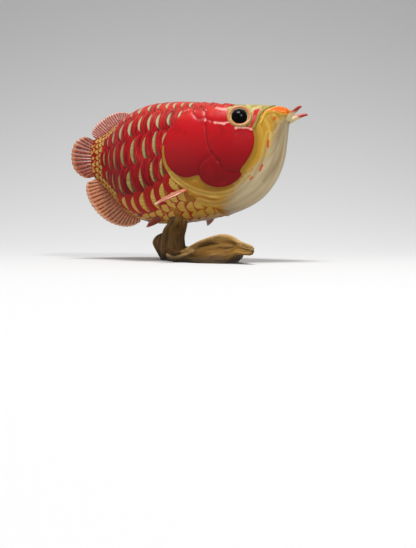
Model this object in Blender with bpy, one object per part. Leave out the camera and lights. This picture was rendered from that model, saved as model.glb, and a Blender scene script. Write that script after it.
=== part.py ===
"""Painted figurine of a red Asian arowana on a driftwood stand.

The fish is modelled in its own frame, in millimetres: X forward to the snout, Y to
its left, Z up, straight and level. The body is then bent at the tail, and an empty
tilts the whole fish on its stand. The stand is modelled level, on the floor. The
last step puts the middle of the figurine's box over the origin.
"""
import math

import bmesh
import bpy
import numpy as np
from mathutils import Matrix, Vector
from mathutils.geometry import delaunay_2d_cdt

MM = 0.001
# Gap that touching nodes keep, the same under the belly, and half size of the cutters
GAP = 0.3
STAND_GAP = 0.5
WIDE = 90.0

# Pose of the fish on its stand
FISH_PITCH = 5.2
FISH_ROLL = -5.3
FISH_HEIGHT = 49.0

# Side outline: upper and lower end (x, z) of each section, and how square the
# section is above and below its middle
SECTIONS = (
    ((43.2, 9.0), (43.0, 7.4), 2.0, 2.0),
    ((41.0, 10.4), (42.0, 3.4), 2.4, 2.2),
    ((37.2, 11.8), (40.8, -4.0), 2.6, 2.2),
    ((31.5, 12.9), (38.9, -11.8), 2.7, 2.2),
    ((25.0, 13.7), (35.2, -19.0), 2.8, 2.2),
    ((17.5, 14.9), (28.6, -25.6), 2.7, 2.2),
    ((9.5, 16.8), (19.2, -29.7), 2.4, 2.2),
    ((1.0, 18.9), (8.0, -31.7), 2.2, 2.2),
    ((-8.0, 20.4), (-3.5, -32.5), 2.1, 2.2),
    ((-17.0, 20.8), (-14.5, -32.2), 2.1, 2.1),
    ((-25.0, 19.6), (-24.0, -30.4), 2.0, 2.0),
    ((-32.0, 17.0), (-32.0, -26.6), 2.0, 2.0),
    ((-38.0, 13.6), (-38.0, -20.6), 2.0, 2.0),
    ((-43.0, 10.4), (-43.0, -14.4), 2.0, 2.0),
    ((-48.0, 8.4), (-48.0, -9.0), 2.0, 2.0),
)
# Top outline: x and half width
BREADTHS = (
    (-48.0, 1.9), (-43.0, 6.4), (-38.0, 10.6), (-32.0, 14.2), (-25.6, 16.9),
    (-19.0, 18.2), (-12.0, 18.6), (-5.0, 18.7), (4.9, 18.7), (15.0, 17.4),
    (21.9, 15.9), (25.2, 14.5), (28.6, 12.8), (32.0, 10.8), (35.4, 9.0),
    (38.8, 7.3), (42.0, 4.6), (43.2, 2.4), (43.6, 0.0),
)
# Tail bend toward the fish's right: start, length over which it grows, angle
BEND_START = -26.0
BEND_LENGTH = 24.0
BEND_ANGLE = math.radians(38)

# Line of the gill opening, seen from the side, from the nape down to the throat
GILL_LINE = (
    (8.5, 26.0), (8.3, 17.5), (6.8, 14.6), (4.2, 12.4), (1.0, 10.0), (-1.6, 7.0),
    (-4.4, 3.0), (-6.3, -1.6), (-6.8, -5.8), (-6.4, -10.0), (-4.9, -14.1),
    (-2.4, -17.8), (0.7, -21.1), (3.0, -23.6), (6.8, -26.8), (11.5, -29.6), (14.0, -37.0),
)
TAIL_CUT = -26.5

# Outline of the red gill cover and cheek plates, seen from the side
PLATE_OUTLINE = (
    (14.0, 12.6), (18.5, 12.0), (20.6, 11.0), (21.3, 8.5), (21.6, 5.5), (23.3, 2.6),
    (26.5, 1.6), (29.8, 1.4), (30.7, -1.7), (30.6, -5.0), (29.4, -9.0), (27.4, -12.3),
    (24.6, -15.9), (24.8, -17.5), (23.0, -19.5), (19.1, -21.4), (15.2, -21.8),
    (11.7, -20.8), (9.2, -18.6), (8.3, -16.6), (4.0, -17.0), (1.0, -16.4), (-1.8, -14.6),
    (-4.3, -11.4), (-5.5, -7.4), (-5.4, -2.3), (-3.6, 2.5), (-0.8, 6.2), (1.8, 8.9),
    (5.3, 10.9), (9.5, 12.4),
)
# Grooves between the plates
PLATE_GROOVES = (
    ((11.6, 10.5), (12.3, 4.5), (12.8, -1.0), (13.4, -5.4), (14.8, -8.7), (16.9, -11.6)),
    ((8.3, -16.6), (8.8, -13.9), (10.4, -11.4), (14.8, -8.7)),
    ((16.9, -11.6), (18.6, -15.0), (21.5, -16.2), (24.4, -16.4)),
    ((6.0, 10.6), (8.6, 7.2), (12.0, 6.6), (17.0, 4.4), (22.0, 4.2)),
)
PLATE_RISE = 0.6
GROOVE_DEPTH = 0.4
GROOVE_WIDTH = 0.8

# Eye: centre on the skin, seen from the side, radius and depth of the dome
EYE_AT = (25.7, 6.2)
EYE_RADIUS = 3.35
EYE_DEPTH = 2.2
EYE_SUNK = 0.5
LID_RADIUS = 4.4
LID_WIRE = 0.75
EYE_SEGMENTS = 20

# Upper lip and the strip behind it, side view from the snout to the mouth corner
LIP_LINE = (
    (42.9, 8.2, 1.3), (40.6, 8.4, 1.7), (38.0, 8.3, 1.5), (35.6, 7.2, 1.2),
    (33.8, 5.2, 1.0), (32.4, 2.6, 0.9), (31.2, 0.4, 0.7),
)
STRIP_LINE = (
    (38.6, 10.6, 0.5), (36.0, 9.6, 0.6), (34.0, 7.9, 0.6), (32.6, 5.6, 0.6),
    (31.5, 3.2, 0.6), (30.8, 1.2, 0.5),
)
NOSTRIL_AT = (30.6, 11.0)

# Scales: rows down one side as parts of the half girth, from back to belly
ROW_CENTRES = (0.0, 0.132, 0.279, 0.44, 0.60, 0.745)
ROW_EDGES = (0.066, 0.2055, 0.3595, 0.52, 0.6725, 0.82)
BELLY_EDGES = (0.82, 0.88, 0.94, 1.0)
SCALE_PITCH = 5.4
SCALE_SAG = 3.2
SCALE_RISE = 0.5
SCALE_STEP = 0.16
ROW_WAVE = 0.014
FIRST_SCALE = 9.0
SHRINK_FROM = -30.0
SHRINK = 0.87
TRUNK_FRONT = 15.0
LAST_SCALE = -45.5
TRUNK_END = -47.9
END_ROUND = 1.8

# Fins in the mid plane: (x, z) outer edges, from front or top to rear or bottom
DORSAL_EDGE = (
    (-29.8, 19.2), (-33.5, 20.5), (-36.8, 20.8), (-41.5, 19.4), (-46.0, 16.3),
    (-48.7, 12.6), (-48.5, 10.2), (-47.4, 9.3),
)
CAUDAL_EDGE = (
    (-48.9, 8.7), (-52.2, 9.8), (-56.0, 7.5), (-57.8, 3.8), (-58.2, -0.2),
    (-57.2, -4.8), (-54.5, -8.0), (-51.2, -9.4), (-48.9, -8.9),
)
ANAL_EDGE = (
    (-27.2, -30.3), (-31.0, -31.8), (-35.8, -31.7), (-41.8, -29.4), (-46.8, -25.2),
    (-50.4, -19.8), (-51.9, -14.5), (-51.0, -11.0), (-48.4, -10.2),
)
DORSAL_BASE = (-30.0, -46.8)
ANAL_BASE = (-27.4, -47.4)
CAUDAL_BASE = (7.9, -8.4)
FIN_ROOT_HALF = 1.0
FIN_EDGE_HALF = 0.35
FIN_SUNK = 0.6
RAY_RISE = 0.3
DORSAL_RAYS = 14
ANAL_RAYS = 17
CAUDAL_RAYS = 13

# Paired fins: root, tip and width direction in the fish's frame, then their sizes
PECTORAL_ROOT = (2.0, 15.6, -21.4)
PECTORAL_LEFT_TIP = (-7.0, 26.4, -30.2)
PECTORAL_LEFT_ACROSS = (-0.62, -0.30, 0.72)
PECTORAL_RIGHT_TIP = (-8.7, -24.2, -27.6)
PECTORAL_RIGHT_ACROSS = (0.37, -0.90, -0.23)
PECTORAL_WIDTH = 5.0
PECTORAL_THICK = 1.6
PECTORAL_ARCH = 0.8
PELVIC_ROOT = (-13.0, 6.2, -30.0)
PELVIC_TIP = (-21.8, 7.2, -33.8)
PELVIC_ACROSS = (0.25, 0.95, 0.1)
PELVIC_WIDTH = 3.2
PELVIC_THICK = 1.4
PELVIC_ARCH = 0.4

# Barbels: centre line (x, y, z) and radius, from the lip to the tip
BARBEL_LEFT = (
    (42.9, 1.9, 5.6, 1.25), (44.6, 2.5, 6.3, 1.1), (46.6, 3.4, 7.1, 0.85),
    (48.3, 4.0, 7.5, 0.65), (49.8, 4.4, 7.5, 0.4),
)
BARBEL_RIGHT = (
    (42.9, -1.9, 5.8, 1.25), (44.6, -2.5, 6.8, 1.1), (46.6, -3.4, 7.9, 0.85),
    (48.2, -4.1, 8.7, 0.65), (49.6, -4.6, 8.9, 0.4),
)

# Stand, in its own level frame under the fish. Branch stations from the post to the
# tip: crest, foot on the near side, foot on the far side, upper edge on the far side
BRANCH = (
    ((-12.0, -3.0, 5.0), (-12.0, -4.0, 0.0), (-12.0, 6.0, 0.0), (-12.0, 5.0, 5.5)),
    ((-3.0, -12.5, 3.6), (-4.0, -12.0, 0.6), (-2.0, 5.0, 0.0), (-2.0, 4.5, 5.6)),
    ((4.5, -17.0, 6.2), (3.5, -17.0, 0.8), (4.5, 3.6, 0.0), (4.5, 3.2, 5.0)),
    ((11.0, -17.5, 9.2), (10.5, -19.5, -0.4), (11.0, 0.8, 0.0), (11.0, 0.8, 4.5)),
    ((18.0, -15.5, 11.2), (17.0, -20.0, -0.6), (18.5, -3.0, 0.0), (19.0, -3.0, 4.0)),
    ((23.0, -15.5, 10.4), (22.0, -20.0, 0.6), (23.0, -7.0, 1.0), (24.0, -6.5, 4.6)),
    ((26.8, -17.5, 8.6), (25.5, -21.0, 4.0), (26.0, -13.0, 3.4), (27.4, -12.5, 5.8)),
    ((30.4, -20.5, 7.2), (29.9, -22.8, 3.6), (30.4, -18.4, 3.2), (31.2, -18.2, 5.2)),
    ((32.6, -22.0, 5.9), (32.4, -23.0, 4.3), (32.6, -20.8, 4.1), (32.9, -20.8, 5.0)),
)
# Lip that curls up at the near side of the branch: centre line and radius
WING = (
    (6.0, -14.5, 3.6, 2.6), (1.0, -15.4, 3.0, 2.2), (-2.6, -15.4, 3.2, 1.6), (-5.6, -14.6, 4.6, 0.8),
)
# Columns: rows of centre and two half widths, from the top down
POST = (
    ((-7.0, -2.2, 21.0), 4.2, 4.2), ((-7.4, -1.6, 17.0), 4.1, 4.1), ((-9.0, -0.2, 13.0), 4.6, 4.4),
    ((-10.6, 1.0, 9.6), 4.8, 5.0), ((-10.8, 1.4, 5.0), 5.3, 5.6), ((-10.6, 1.8, -1.0), 5.2, 5.8),
)
HEEL = (
    ((-14.2, 4.2, 11.6), 2.4, 3.0), ((-15.0, 4.8, 10.2), 4.5, 4.8), ((-15.4, 5.4, 7.4), 5.8, 5.6),
    ((-14.6, 5.6, 3.6), 4.9, 5.4), ((-13.4, 5.4, -1.0), 3.4, 4.6),
)
STAND_TURN = math.radians(22)

# Paints: slot, colour, roughness and the nodes that wear it
PAIR = ('left', 'right')
PAINTS = (
    ('head_paint', (0.55, 0.02, 0.02), 0.25, ('head',)),
    ('scale_paint', (0.45, 0.05, 0.03), 0.3, ('torso', 'tail')),
    ('fin_paint', (0.42, 0.10, 0.06), 0.4, ('dorsal_fin', 'caudal_fin', 'anal_fin')),
    ('pectoral_paint', (0.62, 0.18, 0.08), 0.4, ['pectoral_fin_' + side for side in PAIR]),
    ('pelvic_paint', (0.16, 0.02, 0.01), 0.4, ['pelvic_fin_' + side for side in PAIR]),
    ('barbel_paint', (0.65, 0.10, 0.06), 0.35, ['barbel_' + side for side in PAIR]),
    ('eye_paint', (0.01, 0.01, 0.01), 0.08, ['eye_' + side for side in PAIR]),
    ('wood_paint', (0.22, 0.13, 0.05), 0.55, ('stand_driftwood',)),
)

# Net over the head: its length in the flat net, rings as place along the body and count
HEAD_LENGTH = 95.0
HEAD_RINGS = (
    (0.02, 20), (0.05, 28), (0.085, 34), (0.12, 38), (0.155, 40), (0.19, 42), (0.225, 44),
    (0.26, 44), (0.295, 44), (0.33, 44), (0.365, 44), (0.40, 44), (0.435, 44), (0.47, 44),
    (0.505, 44), (0.54, 40), (0.58, 24),
)
HEAD_ENDS = (0.004, 0.61)


def smooth(points, steps):
    """Catmull-Rom curve through the points."""
    p = np.array(points, float)
    p = np.vstack([2 * p[0] - p[1], p, 2 * p[-1] - p[-2]])
    u = np.linspace(0, 1, steps, endpoint=False)[:, None]
    runs = []
    for a, b, c, d in zip(p, p[1:], p[2:], p[3:]):
        runs.append(b + 0.5 * u * (c - a + u * (2 * a - 5 * b + 4 * c - d + u * (3 * b - 3 * c + d - a))))
    return np.vstack(runs + [p[-2:-1]])


def resample(points, count):
    """The same curve with its points at equal distances."""
    step = np.linalg.norm(np.diff(points, axis=0), axis=1)
    run = np.concatenate([[0], np.cumsum(step)])
    at = np.linspace(0, run[-1], count)
    return np.stack([np.interp(at, run, points[:, k]) for k in range(points.shape[1])], 1)


def make_skin_table():
    """Points of the straight body: rows along it, columns from back to belly."""
    flat = [(*top, *bottom, above, below) for top, bottom, above, below in SECTIONS]
    rows = smooth(flat, 16)
    breadth = smooth(BREADTHS, 16)
    angle = np.linspace(0, math.pi, 181)
    table = []
    for tx, tz, bx, bz, above, below in rows:
        level = np.cos(angle)
        power = np.where(level >= 0, above, below)
        along = np.sign(level) * np.abs(level) ** (2 / power)
        x = (tx + bx) / 2 + (tx - bx) / 2 * along
        z = (tz + bz) / 2 + (tz - bz) / 2 * along
        wide = np.interp(x, breadth[:, 0], np.maximum(breadth[:, 1], 0))
        y = wide * np.sin(angle) ** (2 / power)
        table.append(resample(np.stack([x, y, z], 1), 121))
    return np.array(table)


SKIN = make_skin_table()


def skin(t, v):
    """Point of the straight skin at t along the body and signed girth part v."""
    t = np.clip(np.asarray(t, float), 0, 1) * (SKIN.shape[0] - 1)
    c = np.clip(np.abs(np.asarray(v, float)), 0, 1) * (SKIN.shape[1] - 1)
    i = np.minimum(t.astype(int), SKIN.shape[0] - 2)
    j = np.minimum(c.astype(int), SKIN.shape[1] - 2)
    f = (t - i)[..., None]
    g = (c - j)[..., None]
    p = (SKIN[i, j] * (1 - f) * (1 - g) + SKIN[i + 1, j] * f * (1 - g)
         + SKIN[i, j + 1] * (1 - f) * g + SKIN[i + 1, j + 1] * f * g)
    p[..., 1] *= np.sign(v) + (np.asarray(v) == 0)
    return p


def skin_normal(t, v):
    """Outward unit normal of the straight skin."""
    t = np.clip(np.asarray(t, float), 0.004, 0.996)
    v = np.asarray(v, float)
    along = skin(t - 0.004, v) - skin(t + 0.004, v)
    around = skin(t, np.minimum(v + 0.01, 1)) - skin(t, np.maximum(v - 0.01, -1))
    n = np.cross(along, around)
    return n / np.maximum(np.linalg.norm(n, axis=-1, keepdims=True), 1e-9)


def t_at(x, v):
    """Place along the body where the skin at girth part v has this x."""
    c = min(abs(v), 1) * (SKIN.shape[1] - 1)
    j = min(int(c), SKIN.shape[1] - 2)
    column = SKIN[:, j, 0] * (1 - c + j) + SKIN[:, j + 1, 0] * (c - j)
    return float(np.interp(-x, -column, np.linspace(0, 1, len(column))))


def v_at_height(x, z):
    """Girth part of the skin's side at this x and height."""
    tries = np.linspace(0.02, 0.98, 193)
    heights = [skin(t_at(x, v), v)[2] for v in tries]
    return float(np.interp(-z, -np.array(heights), tries))


def bend(points):
    """The straight fish with its tail bent to the right."""
    p = np.array(points, float)
    run = np.linspace(0, 60, 601)
    angles = BEND_ANGLE * (np.minimum(run, BEND_LENGTH) / BEND_LENGTH) ** 1.5
    step = run[1]
    back = np.concatenate([[0], np.cumsum(np.cos(angles[:-1]) * step)])
    right = np.concatenate([[0], np.cumsum(np.sin(angles[:-1]) * step)])
    s = np.maximum(BEND_START - p[..., 0], 0)
    angle = np.interp(s, run, angles)
    x = np.where(s > 0, BEND_START - np.interp(s, run, back), p[..., 0])
    side = -np.interp(s, run, right)
    return np.stack([x - p[..., 1] * np.sin(angle), side + p[..., 1] * np.cos(angle), p[..., 2]], -1)


def side_point(x, z, side, lift=0.0):
    """Point on the skin's side seen at (x, z), its normal, lifted off the skin."""
    v = v_at_height(x, z) * side
    t = t_at(x, v)
    n = skin_normal(t, v)
    return skin(t, v) + n * lift, n


def outline_distance(x, z, outline):
    """Distance to a closed outline in the side view, negative inside."""
    a = np.array(outline, float)
    b = np.roll(a, -1, axis=0)
    p = np.stack([x, z], -1)[..., None, :]
    e = b - a
    f = np.clip(((p - a) * e).sum(-1) / (e * e).sum(-1), 0, 1)
    d = np.linalg.norm(p - a - f[..., None] * e, axis=-1).min(-1)
    above = (a[:, 1] > p[..., 1]) != (b[:, 1] > p[..., 1])
    cross = a[:, 0] + (p[..., 1] - a[:, 1]) / np.where(e[:, 1] == 0, 1e-9, e[:, 1]) * e[:, 0]
    inside = (above & (p[..., 0] < cross)).sum(-1) % 2 == 1
    return np.where(inside, -d, d)


def line_distance(x, z, line):
    """Distance to an open line in the side view."""
    a = np.array(line, float)
    e = a[1:] - a[:-1]
    p = np.stack([x, z], -1)[..., None, :]
    f = np.clip(((p - a[:-1]) * e).sum(-1) / (e * e).sum(-1), 0, 1)
    return np.linalg.norm(p - a[:-1] - f[..., None] * e, axis=-1).min(-1)


def step_up(d, width):
    """0 outside an edge and 1 inside it, over this width."""
    f = np.clip(0.5 - d / width, 0, 1)
    return f * f * (3 - 2 * f)


def head_relief(p):
    """Height of the gill cover and cheek plates, and the grooves between them."""
    x, z = p[..., 0], p[..., 2]
    plates = smooth(PLATE_OUTLINE + PLATE_OUTLINE[:1], 4)[:-1]
    inside = step_up(outline_distance(x, z, plates), 1.2)
    rise = PLATE_RISE * inside
    for groove in PLATE_GROOVES:
        d = line_distance(x, z, smooth(groove, 4))
        rise = rise - GROOVE_DEPTH * inside * np.exp(-(d / GROOVE_WIDTH) ** 2)
    return rise


# Making and keeping objects

def new_collection(name):
    made = bpy.data.collections.new(name)
    bpy.context.scene.collection.children.link(made)
    return made


def put_in(obj, collection):
    for old in list(obj.users_collection):
        old.objects.unlink(obj)
    collection.objects.link(obj)
    return obj


def add_mesh(name, points, faces, collection):
    """Object of a closed mesh given in millimetres."""
    mesh = bpy.data.meshes.new(name)
    mesh.from_pydata([tuple(float(c) * MM for c in p) for p in points], [], faces)
    bm = bmesh.new()
    bm.from_mesh(mesh)
    bmesh.ops.recalc_face_normals(bm, faces=bm.faces)
    bmesh.ops.triangulate(bm, faces=[f for f in bm.faces if len(f.verts) > 3])
    bm.to_mesh(mesh)
    bm.free()
    obj = bpy.data.objects.new(name, mesh)
    collection.objects.link(obj)
    return obj


def loft(rings):
    """Points and faces of a closed tube through rings of equal count, capped."""
    rings = np.array(rings)
    count, around = rings.shape[:2]
    faces = []
    for i in range(count - 1):
        for j in range(around):
            a, b = i * around + j, i * around + (j + 1) % around
            faces.append((a, b, b + around, a + around))
    points = list(rings.reshape(-1, 3)) + [rings[0].mean(0), rings[-1].mean(0)]
    first, last = count * around, count * around + 1
    for j in range(around):
        k = (j + 1) % around
        faces.append((first, k, j))
        faces.append((last, (count - 1) * around + j, (count - 1) * around + k))
    return points, faces


def applied(obj):
    """Applies the object's modifiers and keeps its largest closed surface."""
    bpy.context.view_layer.update()
    shape = obj.evaluated_get(bpy.context.evaluated_depsgraph_get())
    mesh = bpy.data.meshes.new_from_object(shape)
    obj.modifiers.clear()
    old, obj.data = obj.data, mesh
    bpy.data.meshes.remove(old)
    keep_largest(obj)
    return obj


def keep_largest(obj):
    bm = bmesh.new()
    bm.from_mesh(obj.data)
    left, groups = set(bm.verts), []
    while left:
        group, edge = set(), [left.pop()]
        while edge:
            v = edge.pop()
            group.add(v)
            near = [e.other_vert(v) for e in v.link_edges]
            edge += [n for n in near if n in left]
            left.difference_update(near)
        groups.append(group)
    if len(groups) > 1:
        def volume(group):
            faces = {f for v in group for f in v.link_faces}
            return abs(sum(f.verts[0].co.dot(f.verts[1].co.cross(f.verts[2].co)) for f in faces))
        groups.sort(key=volume)
        bmesh.ops.delete(bm, geom=[v for g in groups[:-1] for v in g], context='VERTS')
    bmesh.ops.triangulate(bm, faces=[f for f in bm.faces if len(f.verts) > 3])
    bm.to_mesh(obj.data)
    bm.free()


def cut(obj, cutter, operation='DIFFERENCE'):
    mod = obj.modifiers.new('cut', 'BOOLEAN')
    mod.operation = operation
    mod.solver = 'EXACT'
    mod.object = cutter
    return applied(obj)


def join(obj, pieces):
    """Boolean union of closed pieces with the object."""
    group = bpy.data.collections.new('pieces')
    for piece in pieces:
        put_in(piece, group)
    bpy.context.scene.collection.children.link(group)
    mod = obj.modifiers.new('join', 'BOOLEAN')
    mod.operation = 'UNION'
    mod.solver = 'EXACT'
    mod.operand_type = 'COLLECTION'
    mod.collection = group
    applied(obj)
    for piece in list(group.objects):
        bpy.data.objects.remove(piece)
    bpy.data.collections.remove(group)
    return obj


def material(name, colour, roughness):
    made = bpy.data.materials.new(name)
    made.use_nodes = True
    made.diffuse_color = (*colour, 1)
    shader = made.node_tree.nodes['Principled BSDF']
    shader.inputs['Base Color'].default_value = (*colour, 1)
    shader.inputs['Roughness'].default_value = roughness
    shader.inputs['Metallic'].default_value = 0.0
    return made


# Body

class SkinNet:
    """Flat net over the skin: (along, v) points and fixed edges between them."""

    GIRTH = 75.0

    def __init__(self):
        self.points, self.heights, self.edges, self.index = [], [], [], {}

    def add(self, along, v, height=0.0):
        key = (round(along, 4), round(v, 5))
        if key not in self.index:
            self.index[key] = len(self.points)
            self.points.append((along, v))
            self.heights.append(height)
        return self.index[key]

    def chain(self, ids):
        self.edges += [(a, b) for a, b in zip(ids, ids[1:]) if a != b]

    def clear_of(self, along, v, reach):
        """True where no point of the net lies within reach."""
        taken = np.array(self.points[:self.fixed]) * (1, self.GIRTH)
        return np.linalg.norm(taken - (along, v * self.GIRTH), axis=1).min() > reach

    def close_seam(self):
        """Gives both sides of the seam under the belly the same points."""
        for along in sorted({p[0] for p in self.points if abs(p[1]) == 1}):
            for v in (-1.0, 1.0):
                self.add(along, v)

    def mesh(self, name, place, ends, shape, collection):
        """Closed mesh of the net: place gives t, shape gives the final points."""
        self.close_seam()
        flat = [Vector((along, v * self.GIRTH)) for along, v in self.points]
        verts, _, faces, origin, _, _ = delaunay_2d_cdt(flat, self.edges, [], 0, 1e-5, True)
        at = [(vert.x, vert.y / self.GIRTH) for vert in verts]
        heights = np.zeros(len(at))
        for k, old in enumerate(origin):
            if old:
                at[k] = self.points[old[0]]
                heights[k] = self.heights[old[0]]
        t = np.array([place(along, v) for along, v in at])
        v = np.array([p[1] for p in at])
        points = list(shape(skin(t, v), skin_normal(t, v), heights))
        left = {round(a, 4): k for k, (a, v) in enumerate(at) if v == 1}
        swap = {k: left[round(a, 4)] for k, (a, v) in enumerate(at) if v == -1}
        faces = [tuple(swap.get(k, k) for k in f) for f in faces]
        faces = [f for f in faces if len(set(f)) == 3]
        for end, reach in ends:
            ring = sorted((v, k) for k, (a, v) in enumerate(at) if abs(a - end) < 1e-5 and k not in swap)
            close_end(points, faces, [k for _, k in ring], reach)
        return add_mesh(name, points, faces, collection)


def close_end(points, faces, ring, reach):
    """Closes an end of the skin, flat or rounded out by reach along the ring's axis."""
    rim = np.array([points[k] for k in ring])
    middle = rim.mean(0)
    out = np.cross(rim[len(rim) // 4] - middle, rim[0] - middle)
    out = out / np.linalg.norm(out) * reach
    for f in (0.4, 0.75) if reach else ():
        fresh = list(range(len(points), len(points) + len(ring)))
        points += list(middle + (rim - middle) * math.sqrt(1 - f * f) + out * f)
        faces += [(a, b, c) for a, b, c in zip(ring, ring[1:] + ring[:1], fresh)]
        faces += [(b, d, c) for b, c, d in zip(ring[1:] + ring[:1], fresh, fresh[1:] + fresh[:1])]
        ring = fresh
    points.append(middle + out)
    faces += [(ring[j - 1], ring[j], len(points) - 1) for j in range(len(ring))]


def side_offset(line, offset):
    """A side-view line moved sideways."""
    ahead = np.gradient(line, axis=0)
    normal = np.stack([-ahead[:, 1], ahead[:, 0]], 1)
    return line + normal / np.linalg.norm(normal, axis=1, keepdims=True) * offset


def head_lines():
    """Side-view lines that the head's net follows: plate edges and grooves."""
    outline = smooth(PLATE_OUTLINE + PLATE_OUTLINE[:1], 2)
    lines = [side_offset(outline, 0.5), side_offset(outline, -0.5)]
    for groove in PLATE_GROOVES:
        run = smooth(groove, 2)
        lines += [run, side_offset(run, 0.9), side_offset(run, -0.9)]
    return lines


def behind_gill(x, z, reach):
    """True more than reach behind the gill line."""
    return bool(outline_distance(np.array(x + reach), np.array(z), gill_outline(0, -60)) < 0)


def head_body(collection):
    """Head out to behind the gill line, with its raised plates."""
    net = SkinNet()
    for line in head_lines():
        for side in (-1, 1):
            ids = []
            for x, z in line:
                v = v_at_height(x, z) * side
                ids.append(net.add(-t_at(x, v) * HEAD_LENGTH, v))
            net.chain(ids)
    net.fixed = len(net.points)
    for t, around in HEAD_RINGS:
        for v in np.linspace(-1, 1, around + 1):
            p = skin(t, v)
            if net.clear_of(-t * HEAD_LENGTH, v, 1.1) and not behind_gill(p[0], p[2], 3.5):
                net.add(-t * HEAD_LENGTH, float(v))
    for t in HEAD_ENDS:
        for v in np.linspace(-1, 1, 19):
            net.add(-t * HEAD_LENGTH, float(v))
    ends = [(-t * HEAD_LENGTH, 0.0) for t in HEAD_ENDS]
    return net.mesh('head', lambda along, v: -along / HEAD_LENGTH, ends,
                    lambda p, n, h: p + n * head_relief(p)[..., None], collection)


def row_positions(shift):
    """Rear edges of the scales in one row, closer together at the tail."""
    x = FIRST_SCALE + shift
    places = []
    pitch = SCALE_PITCH
    while x > LAST_SCALE:
        places.append((x, pitch))
        if x < SHRINK_FROM:
            pitch *= SHRINK
        x -= pitch
    return places


def is_plain(x, v):
    """True where the skin carries no large scales."""
    a = abs(v)
    near_dorsal = x < -27 and a < 0.07 + (-27 - x) * 0.006
    near_anal = x < -25 and a > 0.86 - (-25 - x) * 0.006
    z = float(skin(t_at(x, v), v)[2])
    near_pectoral = math.hypot(x - 0.5, z + 22.5) < 5
    near_pelvic = math.hypot(x + 13.0, (a - 0.93) * 70) < 4
    covered = outline_distance(np.array(x - 4.5), np.array(z), gill_outline(0, 60)) < 0
    return near_dorsal or near_anal or near_pectoral or near_pelvic or bool(covered)


def gill_outline(offset, reach):
    """Closed outline ahead of the gill line (reach > 0) or behind it, moved by offset."""
    line = smooth(GILL_LINE, 3)
    ahead = np.gradient(line, axis=0)
    normal = np.stack([-ahead[:, 1], ahead[:, 0]], 1)
    normal /= np.linalg.norm(normal, axis=1, keepdims=True)
    line = line + normal * offset
    far = [(line[-1][0] + reach, line[-1][1]), (line[0][0] + reach, line[0][1])]
    return np.vstack([line, far])


def add_scale(net, x, pitch, upper, lower, segments, rise):
    """One scale's rear edge: a raised arc with a step down behind it."""
    middle, half = (upper + lower) / 2, (lower - upper) / 2
    sag = SCALE_SAG * pitch / SCALE_PITCH * min(1, abs(half) / 0.05)
    top, foot = [], []
    for k in range(segments + 1):
        s = -1 + 2 * k / segments
        back = sag * (1 - (1 - abs(s) ** 2.4) ** (1 / 2.4))
        v = middle + half * s
        height = 0 if abs(s) == 1 else rise * pitch / SCALE_PITCH * (1 - abs(s) ** 5)
        top.append(net.add(x + back, v, height))
        foot.append(top[-1] if abs(s) == 1 else net.add(x + back - SCALE_STEP, v, 0.0))
    net.chain(top)
    net.chain(foot)
    return top[0], top[-1]


def fill_net(net):
    """Rows of scales on both sides, with the waving lines between the rows."""
    lines = {}
    for side in (-1, 1):
        belly = list(zip(BELLY_EDGES, BELLY_EDGES[1:]))
        edges = list(zip(ROW_EDGES, ROW_EDGES[1:])) + belly
        for row, (upper, lower) in enumerate(edges, 1):
            big = row < len(ROW_EDGES)
            wave = ROW_WAVE if big else ROW_WAVE * 0.5
            shift = -SCALE_PITCH / 2 if row % 2 else 0.0
            for x, pitch in row_positions(shift):
                if is_plain(x, side * (upper + lower) / 2):
                    continue
                last = lower if lower == 1.0 else lower - wave
                ends = add_scale(net, x, pitch, side * (upper + wave), side * last,
                                 6 if big else 4, SCALE_RISE if big else SCALE_RISE * 0.5)
                lines.setdefault(side * upper, []).append(ends[0])
                lines.setdefault(side * lower, []).append(ends[1])
    for x, pitch in row_positions(0.0):
        if is_plain(x, 0.0):
            continue
        ends = add_scale(net, x, pitch, -(ROW_EDGES[0] - ROW_WAVE), ROW_EDGES[0] - ROW_WAVE, 6, SCALE_RISE)
        lines[-ROW_EDGES[0]].append(ends[0])
        lines[ROW_EDGES[0]].append(ends[1])
    for ids in lines.values():
        net.chain(sorted(set(ids), key=lambda i: -net.points[i][0]))


def add_filler(net):
    """Border points and a loose grid of points where there are no scales."""
    net.fixed = len(net.points)
    columns = [float(v) for v in np.linspace(-1, 1, 37)]
    for x in np.arange(TRUNK_FRONT - 4, TRUNK_END + 1.5, -3.2):
        for v in columns:
            if net.clear_of(x, v, 1.7):
                net.add(float(x), v)
    for v in columns:
        net.add(TRUNK_FRONT, v)
        net.add(TRUNK_END, v)


def trunk_body(collection):
    """Body behind the gill line, with every large scale raised at its rear edge."""
    net = SkinNet()
    fill_net(net)
    add_filler(net)
    return net.mesh('trunk', t_at, [(TRUNK_FRONT, 0.0), (TRUNK_END, END_ROUND)],
                    lambda p, n, h: bend(p + n * h[..., None]), collection)


def plain_body(name, lift, collection):
    """Smooth skin of the whole fish, moved out by lift, for cutting the roots."""
    net = SkinNet()
    for t in np.linspace(0.004, 0.995, 60):
        for v in np.linspace(-1, 1, 49):
            net.add(-float(t) * HEAD_LENGTH, float(v))
    ends = [(-0.004 * HEAD_LENGTH, 0.0), (-0.995 * HEAD_LENGTH, END_ROUND)]
    return net.mesh(name, lambda along, v: -along / HEAD_LENGTH, ends,
                    lambda p, n, h: bend(p + n * lift), collection)


def gill_prism(name, offset, reach, cutters):
    """Cutter with the gill line's outline, right through the fish."""
    outline = gill_outline(offset, reach)
    rings = [[(x, y, z) for x, z in outline] for y in (-WIDE, WIDE)]
    count = len(outline)
    points = [p for ring in rings for p in ring]
    faces = [tuple(range(count)), tuple(range(2 * count - 1, count - 1, -1))]
    faces += [(i, (i + 1) % count, (i + 1) % count + count, i + count) for i in range(count)]
    return add_mesh(name, points, faces, cutters)


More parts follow.
